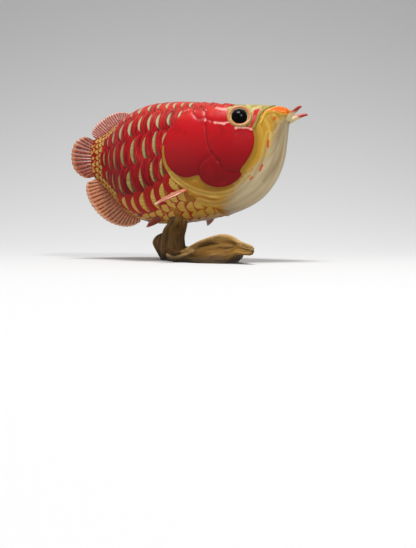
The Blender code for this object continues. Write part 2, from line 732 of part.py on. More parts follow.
def box_cutter(name, low, high, cutters):
    bpy.ops.mesh.primitive_cube_add(size=1)
    obj = put_in(bpy.context.object, cutters)
    obj.name = name
    low, high = np.array(low), np.array(high)
    size = Matrix.Diagonal((*(high - low) * MM, 1))
    obj.data.transform(Matrix.Translation(Vector((low + high) / 2 * MM)) @ size)
    return obj


def eye_frame(side):
    """Centre of the eye's dome and the matrix that turns +Z out of the head."""
    p, n = side_point(*EYE_AT, side)
    centre = p - n * EYE_SUNK
    turn = Vector(n).to_track_quat('Z', 'Y').to_matrix().to_4x4()
    return Matrix.Translation(Vector(centre * MM)) @ turn


def dome(name, side, extra, segments, collection):
    """Flattened sphere of the eye, or of its socket with extra all round."""
    bpy.ops.mesh.primitive_uv_sphere_add(segments=segments, ring_count=segments // 2, radius=1)
    obj = put_in(bpy.context.object, collection)
    obj.name = name
    radius = (EYE_RADIUS + extra) * MM
    obj.data.transform(eye_frame(side) @ Matrix.Diagonal((radius, radius, (EYE_DEPTH + extra) * MM, 1)))
    obj.data.shade_smooth()
    return obj


def lid_ring(side, collection):
    bpy.ops.mesh.primitive_torus_add(major_radius=LID_RADIUS * MM, minor_radius=LID_WIRE * MM,
                                     major_segments=22, minor_segments=6)
    obj = put_in(bpy.context.object, collection)
    obj.data.transform(eye_frame(side) @ Matrix.Translation((0, 0, EYE_SUNK * MM)))
    return obj


def nostril_ring(side, collection):
    p, n = side_point(*NOSTRIL_AT, side)
    bpy.ops.mesh.primitive_torus_add(major_radius=0.9 * MM, minor_radius=0.4 * MM,
                                     major_segments=12, minor_segments=6)
    obj = put_in(bpy.context.object, collection)
    turn = Vector(n).to_track_quat('Z', 'Y').to_matrix().to_4x4()
    obj.data.transform(Matrix.Translation(Vector(p * MM)) @ turn)
    return obj


def skin_ridge(name, line, side, collection, sink=0.35):
    """Rounded ridge along a line of (x, z, half width) on the side of the head."""
    rows = smooth(line, 2)
    centres, normals = [], []
    for x, z, r in rows:
        p, n = side_point(x, z, side, -sink * r)
        centres.append(p)
        normals.append(n)
    centres = np.array(centres)
    ahead = np.gradient(centres, axis=0)
    rings = []
    for p, n, a, (_, _, r) in zip(centres, normals, ahead, rows):
        across = np.cross(a, n)
        across /= np.linalg.norm(across)
        angle = np.linspace(0, 2 * math.pi, 7, endpoint=False)
        rings.append([p + r * (math.cos(b) * across + 0.8 * math.sin(b) * n) for b in angle])
    points, faces = loft(rings)
    return add_mesh(name, points, faces, collection)


# Fins

def fin_grid(base, edge, levels):
    """Closed plate of a fin: left and right faces, ray ridges, a fold at its root.

    base and edge are matching rows of straight mid-plane points. Each row of the
    plate runs from the root to the edge.
    """
    count = len(base)
    left, right = [], []
    for i in range(count):
        ridge = RAY_RISE if i % 2 else 0.0
        for j in range(levels + 1):
            f = j / levels
            x, z = base[i] * (1 - f) + edge[i] * f
            half = FIN_ROOT_HALF * (1 - f) + FIN_EDGE_HALF * f
            half += ridge * (1 - 0.5 * f)
            left.append((x, half, z))
            right.append((x, -half, z))
    points = bend(left + right)
    size = count * (levels + 1)
    faces = []

    def at(i, j):
        return i * (levels + 1) + j

    for i in range(count - 1):
        for j in range(levels):
            a, b, c, d = at(i, j), at(i + 1, j), at(i + 1, j + 1), at(i, j + 1)
            faces += [(a, b, c), (a, c, d), (a + size, c + size, b + size), (a + size, d + size, c + size)]
        for j in (0, levels):
            a, b = at(i, j), at(i + 1, j)
            faces += [(a, b, b + size), (a, b + size, a + size)]
    for i in (0, count - 1):
        for j in range(levels):
            a, b = at(i, j), at(i, j + 1)
            faces += [(a, b, b + size), (a, b + size, a + size)]
    return points, faces


def mid_line(x, sign, lift):
    """Point of the back's or belly's mid line at this x, lifted off it."""
    v = 0.0 if sign > 0 else 1.0
    t = t_at(x, v)
    p = skin(t, v)
    n = skin_normal(t, v)
    n = np.array((n[0], 0, n[2]))
    return (p + n / np.linalg.norm(n) * lift)[[0, 2]]


def median_fin(name, sign, ends, outline, rays, collection):
    """Dorsal or anal fin on the mid line of the back or belly."""
    count = 2 * rays + 1
    xs = np.linspace(*ends, count)
    base = np.array([mid_line(x, sign, -FIN_SUNK) for x in xs])
    edge = resample(smooth(outline, 8), count)
    points, faces = fin_grid(base, edge, 3)
    return add_mesh(name, points, faces, collection)


def caudal_fin(collection):
    count = 2 * CAUDAL_RAYS + 1
    z = np.linspace(*CAUDAL_BASE, count)
    base = np.stack([np.full(count, TRUNK_END), z], 1)
    edge = resample(smooth(CAUDAL_EDGE, 8), count)
    points, faces = fin_grid(base, edge, 4)
    return add_mesh('caudal_fin', points, faces, collection)


def leaf(root, tip, across, width, thick, arch):
    """Leaf-shaped fin with a rounded section, arched along its length."""
    root, tip, across = np.array(root), np.array(tip), np.array(across)
    along = tip - root
    unit = along / np.linalg.norm(along)
    across = across - unit * (across @ unit)
    across /= np.linalg.norm(across)
    normal = np.cross(unit, across)
    rings = []
    for f in np.linspace(0, 1, 10):
        wide = width / 2 * (0.55 + 1.15 * f - 0.3 * f * f) * math.sqrt(max(1 - f ** 3, 0.02))
        deep = thick / 2 * (1 - 0.55 * f)
        centre = root + along * f + normal * arch * math.sin(math.pi * f)
        angle = np.linspace(0, 2 * math.pi, 12, endpoint=False)
        rings.append([centre + across * wide * math.cos(b) + normal * deep * math.sin(b) for b in angle])
    return loft(rings)


def tube(line, around):
    """Round tube along rows of (x, y, z, radius)."""
    rows = smooth(line, 3)
    centres = rows[:, :3]
    ahead = np.gradient(centres, axis=0)
    rings = []
    for p, a, r in zip(centres, ahead, rows[:, 3]):
        a = a / np.linalg.norm(a)
        up = np.array((0, 0, 1.0)) if abs(a[2]) < 0.9 else np.array((1.0, 0, 0))
        s = np.cross(a, up)
        s /= np.linalg.norm(s)
        u = np.cross(s, a)
        angle = np.linspace(0, 2 * math.pi, around, endpoint=False)
        rings.append([p + r * (math.cos(b) * s + math.sin(b) * u) for b in angle])
    return loft(rings)


def branch_loft():
    """Branch through its stations, each a smooth closed ring with a crest."""
    rings = []
    for row in smooth(np.reshape(BRANCH, (len(BRANCH), 12)), 2):
        crest, near, far, edge = row.reshape(4, 3)
        corners = [crest, crest * 0.45 + near * 0.55 + (0, -0.6, -0.4), near, near * 0.5 + far * 0.5,
                   far, edge, crest * 0.5 + edge * 0.5 + (0, 0, 0.3)]
        closed = smooth(corners[-1:] + corners + corners[:2], 3)[3:-3]
        rings.append(closed[:-1])
    return loft(rings)


def column_loft(stations, flutes, depth):
    """Upright fluted column through rows of centre and two half widths."""
    flat = [(*c, a, b) for c, a, b in stations]
    rows = smooth(flat, 3)
    side = np.array((math.cos(STAND_TURN), math.sin(STAND_TURN), 0))
    front = np.array((-math.sin(STAND_TURN), math.cos(STAND_TURN), 0))
    rings = []
    for row in rows:
        angle = np.linspace(0, 2 * math.pi, 20, endpoint=False)
        grow = 1 + depth * np.sin(flutes * angle + row[2] * 0.12)
        rings.append([row[:3] + g * (row[3] * math.cos(b) * side + row[4] * math.sin(b) * front)
                      for b, g in zip(angle, grow)])
    return loft(rings)


def clear_scene():
    for old in list(bpy.data.objects):
        bpy.data.objects.remove(old)


def make_head(parts, cutters, behind):
    """Head with lips, nostrils and eyelid rings, open where the eyes sit."""
    head = head_body(parts)
    extras = []
    for side in (-1, 1):
        extras.append(lid_ring(side, parts))
        extras.append(nostril_ring(side, parts))
        extras.append(skin_ridge('lip', LIP_LINE, side, parts))
        extras.append(skin_ridge('strip', STRIP_LINE, side, parts))
    join(head, extras)
    for side in (-1, 1):
        cut(head, dome('socket', side, GAP, EYE_SEGMENTS, cutters))
    cut(head, behind)


def make_trunk(parts, cutters, ahead):
    """Torso and tail: one scaled body parted by a thin cut."""
    rear = box_cutter('rear_of_cut', (-WIDE, -WIDE, -WIDE), (TAIL_CUT + GAP / 2, WIDE, WIDE), cutters)
    front = box_cutter('front_of_cut', (TAIL_CUT - GAP / 2, -WIDE, -WIDE), (WIDE, WIDE, WIDE), cutters)
    torso = trunk_body(parts)
    torso.name = 'torso'
    tail = torso.copy()
    tail.data = torso.data.copy()
    tail.name = 'tail'
    parts.objects.link(tail)
    cut(torso, ahead)
    cut(torso, rear)
    cut(tail, front)


def make_pair(side, name, parts, body_clearance):
    """Eye, pectoral fin, pelvic fin and barbel of one side."""
    dome('eye_' + name, side, 0.0, EYE_SEGMENTS, parts)
    flip = np.array((1, side, 1))
    tip = PECTORAL_LEFT_TIP if side > 0 else PECTORAL_RIGHT_TIP
    across = PECTORAL_LEFT_ACROSS if side > 0 else PECTORAL_RIGHT_ACROSS
    pectoral = leaf(PECTORAL_ROOT * flip, tip, across, PECTORAL_WIDTH, PECTORAL_THICK, PECTORAL_ARCH)
    pelvic = leaf(PELVIC_ROOT * flip, PELVIC_TIP * flip, PELVIC_ACROSS * flip,
                  PELVIC_WIDTH, PELVIC_THICK, PELVIC_ARCH)
    barbel = tube(BARBEL_LEFT if side > 0 else BARBEL_RIGHT, 10)
    for kind, shape in (('pectoral_fin_', pectoral), ('pelvic_fin_', pelvic), ('barbel_', barbel)):
        cut(add_mesh(kind + name, *shape, parts), body_clearance)


def make_stand(parts, cutters):
    """Driftwood: the branch with its lip, the post and the heel, flat on the floor."""
    stand = add_mesh('stand_driftwood', *branch_loft(), parts)
    pieces = [
        add_mesh('post', *column_loft(POST, 5, 0.05), parts),
        add_mesh('heel', *column_loft(HEEL, 4, 0.07), parts),
        add_mesh('lip', *tube(WING, 12), parts),
    ]
    join(stand, pieces)
    below = box_cutter('below_floor', (-WIDE, -WIDE, -WIDE), (WIDE, WIDE, 0), cutters)
    cut(stand, below)
    return stand, below


def middle_over_origin(whole, nodes):
    """Moves the figurine so that its box stands centred over the origin."""
    bpy.context.view_layer.update()
    corners = np.array([obj.matrix_world @ v.co for obj in nodes for v in obj.data.vertices])
    low, high = corners.min(0), corners.max(0)
    whole.location = (-(low[0] + high[0]) / 2, -(low[1] + high[1]) / 2, -low[2])


def paint(parts):
    for slot, colour, roughness, names in PAINTS:
        made = material(slot, colour, roughness)
        for name in names:
            parts.objects[name].data.materials.clear()
            parts.objects[name].data.materials.append(made)


def build():
    clear_scene()
    parts = new_collection('arowana_figurine')
    cutters = new_collection('cutters')
    pose = bpy.data.objects.new('fish_pose', None)
    pose.location = (0, 0, FISH_HEIGHT * MM)
    pose.rotation_euler = (math.radians(FISH_ROLL), -math.radians(FISH_PITCH), 0)
    whole = bpy.data.objects.new('figurine', None)
    for empty in (pose, whole):
        parts.objects.link(empty)

    ahead = gill_prism('ahead_of_gill', -GAP / 2, WIDE, cutters)
    behind = gill_prism('behind_gill', GAP / 2, -WIDE, cutters)
    body_clearance = plain_body('body_clearance', GAP, cutters)
    belly_clearance = plain_body('belly_clearance', STAND_GAP, cutters)

    make_head(parts, cutters, behind)
    make_trunk(parts, cutters, ahead)
    median_fin('dorsal_fin', 1, DORSAL_BASE, DORSAL_EDGE, DORSAL_RAYS, parts)
    median_fin('anal_fin', -1, ANAL_BASE, ANAL_EDGE, ANAL_RAYS, parts)
    caudal_fin(parts)
    for name in ('dorsal_fin', 'anal_fin', 'caudal_fin'):
        cut(parts.objects[name], body_clearance)
    for name, side in (('left', 1), ('right', -1)):
        make_pair(side, name, parts, body_clearance)
    fish = [obj for obj in parts.objects if obj.type == 'MESH']
    for obj in fish + list(cutters.objects):
        obj.parent = pose

    stand, below = make_stand(parts, cutters)
    bpy.context.view_layer.update()
    cut(stand, belly_clearance)
    for obj in (pose, stand, below):
        obj.parent = whole
    paint(parts)
    for obj in cutters.objects:
        obj.hide_render = True
        obj.display_type = 'WIRE'
    middle_over_origin(whole, fish + [stand])


build()
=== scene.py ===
"""Painted figurine of a red Asian arowana on a driftwood stand: its finish and its light.

The fish is shaped in its own frame, in millimetres: X forward to the snout, Y to its
left, Z up, straight and level. Its tail is then bent, and the whole fish is tilted
onto the stand and turned to metres.
"""
import math

import bpy
import numpy as np
from mathutils import Euler, Matrix, Vector
from mathutils.bvhtree import BVHTree
from mathutils.kdtree import KDTree


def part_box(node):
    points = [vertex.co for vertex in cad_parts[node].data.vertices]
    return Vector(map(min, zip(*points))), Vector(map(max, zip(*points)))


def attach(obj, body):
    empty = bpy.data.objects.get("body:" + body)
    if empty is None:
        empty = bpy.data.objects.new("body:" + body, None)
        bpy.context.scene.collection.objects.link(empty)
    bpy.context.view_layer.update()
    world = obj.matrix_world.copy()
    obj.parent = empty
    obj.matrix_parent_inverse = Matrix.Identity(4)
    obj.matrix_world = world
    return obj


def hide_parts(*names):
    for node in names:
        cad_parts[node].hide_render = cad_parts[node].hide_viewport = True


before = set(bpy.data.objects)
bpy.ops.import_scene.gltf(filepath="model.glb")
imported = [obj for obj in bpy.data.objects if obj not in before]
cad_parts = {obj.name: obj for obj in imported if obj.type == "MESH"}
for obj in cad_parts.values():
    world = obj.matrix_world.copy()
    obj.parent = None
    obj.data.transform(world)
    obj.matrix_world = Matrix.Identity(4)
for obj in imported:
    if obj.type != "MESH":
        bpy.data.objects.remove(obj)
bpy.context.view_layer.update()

MM = 0.001

# Pose of the fish on its stand, in degrees
FISH_PITCH = 5.2
FISH_ROLL = -5.3

# Side outline: upper and lower end (x, z) of each section, and how square the
# section is above and below its middle
SECTIONS = (
    (43.2, 9, 43, 7.4, 2, 2),
    (41, 10.4, 42, 3.4, 2.4, 2.2),
    (37.2, 11.8, 40.8, -4, 2.6, 2.2),
    (31.5, 12.9, 38.9, -11.8, 2.7, 2.2),
    (25, 13.7, 35.2, -19, 2.8, 2.2),
    (17.5, 14.9, 28.6, -25.6, 2.7, 2.2),
    (9.5, 16.8, 19.2, -29.7, 2.4, 2.2),
    (1, 18.9, 8, -31.7, 2.2, 2.2),
    (-8, 20.4, -3.5, -32.5, 2.1, 2.2),
    (-17, 20.8, -14.5, -32.2, 2.1, 2.1),
    (-25, 19.6, -24, -30.4, 2, 2),
    (-32, 17, -32, -26.6, 2, 2),
    (-38, 13.6, -38, -20.6, 2, 2),
    (-43, 10.4, -43, -14.4, 2, 2),
    (-48, 8.4, -48, -9, 2, 2),
)
# Top outline: x and half width
BREADTHS = (
    (-48, 1.9), (-43, 6.4), (-38, 10.6), (-32, 14.2), (-25.6, 16.9),
    (-19, 18.2), (-12, 18.6), (-5, 18.7), (4.9, 18.7), (15, 17.4),
    (21.9, 15.9), (25.2, 14.5), (28.6, 12.8), (32, 10.8), (35.4, 9),
    (38.8, 7.3), (42, 4.6), (43.2, 2.4), (43.6, 0),
)
BEND_START = -26
BEND_LENGTH = 24
BEND_ANGLE = math.radians(38)
END_ROUND = 1.8

# Side view of the head: the gill opening, the red plates and the grooves between them
GILL_LINE = (
    (8.5, 26), (8.3, 17.5), (6.8, 14.6), (4.2, 12.4), (1, 10), (-1.6, 7),
    (-4.4, 3), (-6.3, -1.6), (-6.8, -5.8), (-6.4, -10), (-4.9, -14.1),
    (-2.4, -17.8), (0.7, -21.1), (3, -23.6), (6.8, -26.8), (11.5, -29.6), (14, -37),
)
PLATE_OUTLINE = (
    (14, 12.6), (18.5, 12), (20.6, 11), (21.3, 8.5), (21.6, 5.5), (23.3, 2.6),
    (26.5, 1.6), (29.8, 1.4), (30.7, -1.7), (30.6, -5), (29.4, -9), (27.4, -12.3),
    (24.6, -15.9), (24.8, -17.5), (23, -19.5), (19.1, -21.4), (15.2, -21.8),
    (11.7, -20.8), (9.2, -18.6), (8.3, -16.6), (4, -17), (1, -16.4), (-1.8, -14.6),
    (-4.3, -11.4), (-5.5, -7.4), (-5.4, -2.3), (-3.6, 2.5), (-0.8, 6.2), (1.8, 8.9),
    (5.3, 10.9), (9.5, 12.4),
)
PLATE_GROOVES = (
    ((11.6, 10.5), (12.3, 4.5), (12.8, -1), (13.4, -5.4), (14.8, -8.7), (16.9, -11.6)),
    ((8.3, -16.6), (8.8, -13.9), (10.4, -11.4), (14.8, -8.7)),
    ((16.9, -11.6), (18.6, -15), (21.5, -16.2), (24.4, -16.4)),
    ((6, 10.6), (8.6, 7.2), (12, 6.6), (17, 4.4), (22, 4.2)),
)
PLATE_RISE = 0.6
PLATE_EDGE = 1
GROOVE_DEPTH = 0.28
GROOVE_WIDTH = 0.7
# Rise of the lip, the strip and the gill cover's edge, each with the run it takes
LIP_RISE = (0.75, 1.1)
STRIP_RISE = (0.5, 0.6)
GILL_RISE = (0.55, 1.6)
GILL_REACH = 60

# Painted highlights on the plates, pale streaks where glints fall, as two ends and a half width
GLARES = (
    ((16, 10.9), (20.6, 9.4), 0.5), ((15.8, 4.3), (19.7, 3.1), 0.25),
    ((19.7, 3.1), (22.7, 3.6), 0.25), ((24.4, 1), (27.3, 1.3), 0.45),
    ((27.3, 1.3), (30, 0.2), 0.35), ((12, 6.6), (12.1, 4.8), 0.12),
)
RIDGE_RISE = 0.22
RIDGE_SPREAD = 0.2
# Shallow folds down the chin and along the jaw, and the red of the nape and shoulder
FOLDS = (
    ((40.7, 2.9), (39.4, -3.4), (37.5, -8.7), (35.4, -14.4), (31.8, -19.9)),
    ((36, -1.2), (34.6, -7), (32.6, -12.6), (27.7, -19.9), (22, -24.6)),
    ((-3.5, -14.8), (1.5, -19.6), (8, -23.2), (15, -24.6), (22, -22.8), (27.5, -18)),
    ((6, -26), (12, -27.6), (18, -26.6), (23.5, -23.4)),
)
FOLD_DEPTH = 0.16
FOLD_WIDTH = 0.9
NAPE_OUTLINE = ((-12, -3.4), (-12, 30), (24, 30), (24, 11.2), (10, 8), (4, -2))

# Side view of the snout: upper lip, the strip behind it and the red patch by the eye
LIP_OUTLINE = (
    (32.9, 2.9), (34.3, 5.9), (35.3, 8.3), (37.7, 9.5), (39.9, 10.2), (41.6, 10), (43.6, 9),
    (43.6, 7.2), (41.7, 6.2), (40.1, 6.6), (37.8, 7.3), (35.9, 6.9), (34.7, 5), (33.6, 2.6),
)
STRIP_OUTLINE = (
    (38.8, 10.6), (35.5, 8.6), (33.8, 6.7), (32.6, 3.8), (31.2, 0.7),
    (30.2, 1.3), (31.4, 3.8), (32.4, 6.2), (34, 8.9), (36.6, 10.4), (38.4, 11),
)
PATCH_OUTLINE = ((31.1, 9.2), (33.2, 9.5), (32, 5.9), (30.8, 2.1), (29.5, 1.5), (30.4, 5.2))
# Curved border of the cream chin and the corners that close it, then the orange dashes
# on it as two ends and a half width
CREAM_CURVE = (
    (41.4, 5.2), (39.6, 3), (38.2, 0), (36.6, -4.2), (34, -9.4), (30.3, -14.5), (26.3, -18.1),
    (22.6, -21.5), (19.5, -24.6), (14, -29),
)
CREAM_CORNERS = ((14, -45), (60, -45), (60, 5.2))
DASHES = (
    ((35.7, -4.1), (35.3, -6.9), 0.3), ((32.5, -13.9), (31.3, -16.2), 0.32),
    ((28.6, -18.5), (27.5, -19.5), 0.3), ((39, 5.2), (38.3, 4.4), 0.4),
)
# Gold of the belly: x and the distance from the back over a skin of even girth and length
BELLY_OUTLINE = ((-16, 34), (-16, 26.5), (-8, 23), (0, 21.5), (16, 20), (16, 34))
BELLY_GIRTH = 31
BODY_LONG = 92
# Olive top of the head: x and the distance over the skin from the mid line
CROWN_OUTLINE = (
    (5, 0), (5.5, 3), (5.8, 6.5), (8.5, 7.8), (13.1, 10.4), (17.6, 10.5), (20.4, 12),
    (20.7, 15), (21.6, 18.8), (23.2, 22.3), (28.8, 20.4), (30.4, 15.5), (31, 11),
    (33.4, 9.2), (35, 9.2), (37.2, 7.2), (39, 5.2), (44, 4), (44, 0),
)
CROWN_DASHES = (
    ((34.6, 3.2), (32.2, 4.6), 0.5), ((27, 3.8), (24, 4.6), 0.6),
    ((21, 2), (17.4, 3.4), 0.6), ((14.8, 5.4), (11.6, 5), 0.6), ((38.8, 1.6), (37.2, 2.2), 0.45),
)

# Eye, its centre seen from the side
EYE_AT = (25.7, 6.2)
EYE_RADIUS = 3.35
EYE_DEPTH = 2.2
EYE_SUNK = 0.5
EYE_REACH = 9
LID_RADIUS = 4.35
LID_WIRE = 0.8

# Rows of large scales, one along the back and then those of each side: centre line as
# (x, girth part), rear edges, depth of the painted rim in pitches, reach of its middle
# to the sides, and how golden that middle is
SCALE_ROWS = (
    (((10, 0), (-48, 0)),
     (5.8, 0.6, -3.6, -7.4, -11.4, -15.8, -20.2, -23.6, -26.6), 0.6, 0.8, 0),
    (((10, 0.13), (-48, 0.14)),
     (8.2, 4, 0, -3.6, -7.2, -11.4, -15.6, -20.2, -24.8, -29.2, -33.6, -38), 0.68, 0.66, 0),
    (((10, 0.28), (-8, 0.262), (-24, 0.285), (-48, 0.27)),
     (5, 0.7, -3.9, -8.9, -13.1, -17.9, -22.9, -28.4, -34.6, -39.3, -42.8, -45.6), 0.72, 0.7, 0.1),
    (((10, 0.42), (-8, 0.425), (-24, 0.455), (-40, 0.485), (-48, 0.49)),
     (-0.4, -5, -9.7, -14.7, -20.4, -25.9, -32.6, -38, -41.8, -44.6), 0.71, 0.8, 0.25),
    (((10, 0.56), (-8, 0.565), (-18, 0.612), (-30, 0.66), (-42, 0.745), (-48, 0.75)),
     (-2.6, -7, -11.4, -17.1, -22.9, -29.3, -35.6, -40.4, -43.8), 0.72, 0.76, 0.45),
    (((10, 0.67), (-7.6, 0.672), (-14, 0.742), (-19, 0.77), (-25, 0.79), (-35, 0.83), (-48, 0.85)),
     (-7.6, -12.6, -18, -23.4, -28.8, -34.2, -38.4), 0.57, 0.82, 0.95),
)
# Rise of a scale's rear edge, rounding of that edge, depth of its front under the skin,
# thickness, length in pitches, width in rows and how far ahead its sides lie in pitches
SCALE_RISE = 0.68
SCALE_ROUND = 0.45
SCALE_SUNK = 0.18
SCALE_THICK = 0.35
SCALE_REACH = 1.5
SCALE_OVER = 1.12
SCALE_SAG = 0.62
# No scale behind here reaches the gill cover
COVER_REAR = -8
# Ahead of here small scales take the place of the lowest large row
LOWEST_START = -7
# Bands of small scales at the back and belly: where each starts, its girth part there
# and how fast it widens, then where the tail's band starts
DORSAL_BAND = (-24, 0.02, 0.0155)
ANAL_BAND = (-25, 0.9, 0.009)
TAIL_BAND = -45.2
# No scale lies this near the root of a pectoral fin, seen from the side
PECTORAL_SPOT = (0.5, -22.5)
PECTORAL_CLEAR = 2.5
# Texture map of the plates: x at its rear edge, and its run forward
MAP_REAR = -50
MAP_RUN = 66
# Red scales of the nape: rear edge as (x, z) and half width, then length, rise, taper
# and the depth that the paint is told for their front, which is short of the painted shadow
NAPE_SCALES = (
    (17.8, 12.9, 2.4), (13.9, 12.7, 2.8), (9.9, 12.4, 3.2), (5.6, 12.4, 3.4),
    (11.4, 15.2, 2.4), (7.6, 15.6, 2.8),
)
NAPE_PITCH = 3.8
NAPE_RISE = 1
NAPE_TAPER = 0.45
NAPE_COVERED = 0.85
ALL_RED = 1.6
# Small golden scales of the belly, netted in red as far forward as RED_NET_END, and
# round specks where the fins grow
BELLY_PITCH = 3.7
BELLY_ROWS = 3
BELLY_RISE = 0.3
BELLY_START = 14
BELLY_END = -33
RED_NET_END = 1.5
SPECK_PITCH = 2.1
SPECK_END = -47.95
SPECK_RISE = 0.26

# Fins in the mid plane: (x, z) outer edges, from front or top to rear or bottom
DORSAL_EDGE = (
    (-29.8, 19.2), (-33.5, 20.5), (-36.8, 20.8), (-41.5, 19.4), (-46, 16.3),
    (-48.7, 12.6), (-48.5, 10.2), (-47.4, 9.3),
)
CAUDAL_EDGE = (
    (-48.9, 8.7), (-52.2, 9.8), (-56, 7.5), (-57.8, 3.8), (-58.2, -0.2),
    (-57.2, -4.8), (-54.5, -8), (-51.2, -9.4), (-48.9, -8.9),
)
ANAL_EDGE = (
    (-27.2, -30.3), (-31, -31.8), (-35.8, -31.7), (-41.8, -29.4), (-46.8, -25.2),
    (-50.4, -19.8), (-51.9, -14.5), (-51, -11), (-48.4, -10.2),
)
DORSAL_BASE = (-30, -46.8)
ANAL_BASE = (-27.4, -47.4)
CAUDAL_BASE = (7.9, -8.4)
CAUDAL_ROOT_X = -47.9
FIN_ROOT_HALF = 1
FIN_EDGE_HALF = 0.35
FIN_SUNK = 0.6
RAY_RISE = 0.32
DORSAL_RAYS = 22
ANAL_RAYS = 21
CAUDAL_RAYS = 14
# Valleys, dark in part as painted shade, rays, pale in part as painted highlight, then root and tips of
# each fin
FIN_COLOURS = {
    'dorsal': ('#6A1C0E', '#B2695A', '#9C2C16', '#D8A592'),
    'anal': ('#5A1C0C', '#C07448', '#9A3E1C', '#D89C78'),
    'caudal': ('#4A1206', '#923A1E', '#8C3212', '#C47C54'),
    'pectoral': ('#9A4A30', '#C8846C', '#B85A1E', '#E2C4B0'),
    'pelvic': ('#66200F', '#90381E', '#7E2610', '#BC6C54'),
}

# Paired fins: root on the left side, tip and direction of the width on each side in the
# fish's frame, then width, thickness and arch
PAIRED_FINS = {
    'pectoral': ((2, 15.6, -21.4), {1: (-6.2, 26.2, -31.6), -1: (-8.7, -24, -27.6)},
                 {1: (-0.62, -0.3, 0.72), -1: (0.36, -0.84, -0.42)}, (5.4, 1.5, 0.3)),
    'pelvic': ((-13, 6.2, -30), {1: (-20.2, 7.8, -35.4), -1: (-21, -7, -34)},
               {1: (0.25, 0.8, 0.5), -1: (0.25, -0.8, 0.5)}, (4.2, 1.3, 0.4)),
}

# Barbels: centre line (x, y, z) and radius, from the lip to the tip
BARBELS = {
    1: ((42, 1.6, 5.2, 1.25), (42.9, 1.9, 5.6, 1.25), (44.6, 2.5, 6.3, 1.1), (46.6, 3.4, 7.1, 0.85),
        (48.3, 4, 7.5, 0.65), (49.8, 4.4, 7.5, 0.4)),
    -1: ((42, -1.6, 5.2, 1.25), (42.9, -1.9, 5.8, 1.25), (44.6, -2.5, 6.8, 1.1), (46.6, -3.4, 7.9, 0.85),
         (48.2, -4.1, 8.7, 0.65), (49.6, -4.6, 8.9, 0.4)),
}

# Stand, in its own level frame under the fish. Branch stations from the post to the
# tip: crest, foot on the near side, foot on the far side, upper edge on the far side
BRANCH = (
    ((-12, -3, 5), (-12, -4, 0), (-12, 6, 0), (-12, 5, 5.5)),
    ((-3, -12.5, 3.6), (-4, -12, 0.6), (-2, 5, 0), (-2, 4.5, 5.6)),
    ((4.5, -17, 6.2), (3.5, -17, 0.8), (4.5, 3.6, 0), (4.5, 3.2, 5)),
    ((11, -17.5, 9.2), (10.5, -19.5, -0.4), (11, 0.8, 0), (11, 0.8, 4.5)),
    ((18, -15.5, 11.2), (17, -20, -0.6), (18.5, -3, 0), (19, -3, 4)),
    ((23, -15.5, 10.4), (22, -20, 0.6), (23, -7, 1), (24, -6.5, 4.6)),
    ((26.8, -17.5, 8.6), (25.5, -21, 4), (26, -13, 3.4), (27.4, -12.5, 5.8)),
    ((30.6, -20.6, 7.8), (30.2, -23, 3.8), (30.6, -18.4, 3.6), (31.2, -18.2, 6)),
    ((33, -21.6, 6.9), (32.7, -23, 4.1), (32.9, -20.4, 4.1), (33.2, -20.4, 5.9)),
)
# The branch's near face below the crest: part of the way to its foot, and hollow or swell
BRANCH_FACE = ((0.16, -0.9), (0.34, 0.9), (0.7, 0.5))
# Lip that curls up at the near side of the branch: centre line and radius
CURL = (
    (6, -15, 3.2, 2.4), (1, -15.8, 1.8, 1.6), (-2.6, -16, 1.4, 1.1), (-5.8, -15.4, 2.9, 0.7),
)
# Columns: rows of centre and two half widths, from the top down, then count and depth
# of the flutes, and a power that is below 1 for a square section
POST = (
    ((-5.5, -4.2, 22), 3.9, 6.9), ((-5.7, -4, 17.6), 4.1, 6.7), ((-6.6, -2.8, 15.8), 4, 5.9),
    ((-9.1, -0.4, 13), 4.8, 4.7),
    ((-10.6, 1, 9.6), 4.8, 5), ((-10.8, 1.4, 5), 5.3, 5.6), ((-10.6, 1.8, -1), 5.2, 5.8),
)
POST_FORM = (5, 0.05, 0.62)
HEEL = (
    ((-14.2, 4.2, 11.6), 2.4, 3), ((-15, 4.8, 10.2), 4.5, 4.8), ((-15.4, 5.4, 7.4), 5.8, 5.6),
    ((-14.6, 5.6, 3.6), 4.9, 5.4), ((-13.4, 5.4, -1), 3.4, 4.6),
)
HEEL_FORM = (4, 0.07, 1)
BRANCH_TALL = 9
BRANCH_CREST = [station[0] for station in BRANCH[2:]]
# Swirled knot on the far side of the heel
KNOT_AT = (-15.5, 10.6, 4.2)
KNOT_RADIUS = 3
KNOT_RISE = 0.35
KNOT_WAVE = 0.9
# Painted shade: the post and the heel are painted darker than the branch
SHADE_START = 0
SHADE_RUN = 6
STAND_TURN = math.radians(22)
STAND_VOXEL = 0.32
# The post is trimmed to stay this far under the fish, above this height
POST_GAP = 0.05
POST_TRIM = 12

# The photograph's frame and the camera that took its main view
PHOTO_SIZE = (416, 548)
FISH_PIXEL = (194.37, 146.13)
PIXELS_PER_MM = 2.31
CAMERA_DISTANCE = 308
CAMERA_AZIMUTH = math.radians(22.5)
CAMERA_ELEVATION = math.radians(-6.5)
# Lights: azimuth, elevation, distance and side in metres, and watts
LIGHTS = {
    'top': (5, 78, 0.6, 0.16, 3), 'key': (45, 42, 0.8, 0.16, 2.2), 'fill': (-25, 15, 0.9, 0.5, 0.4),
}
WORLD_STRENGTH = 0.42
# Stage in metres: its ends ahead of and behind the figurine, half its width, and the
# sweep of its back
STAGE_FRONT = -0.9
STAGE_BACK = 2.6
STAGE_HALF = 5
SWEEP_START = 0.08
SWEEP_RADIUS = 0.9


# Curves and the skin of the fish

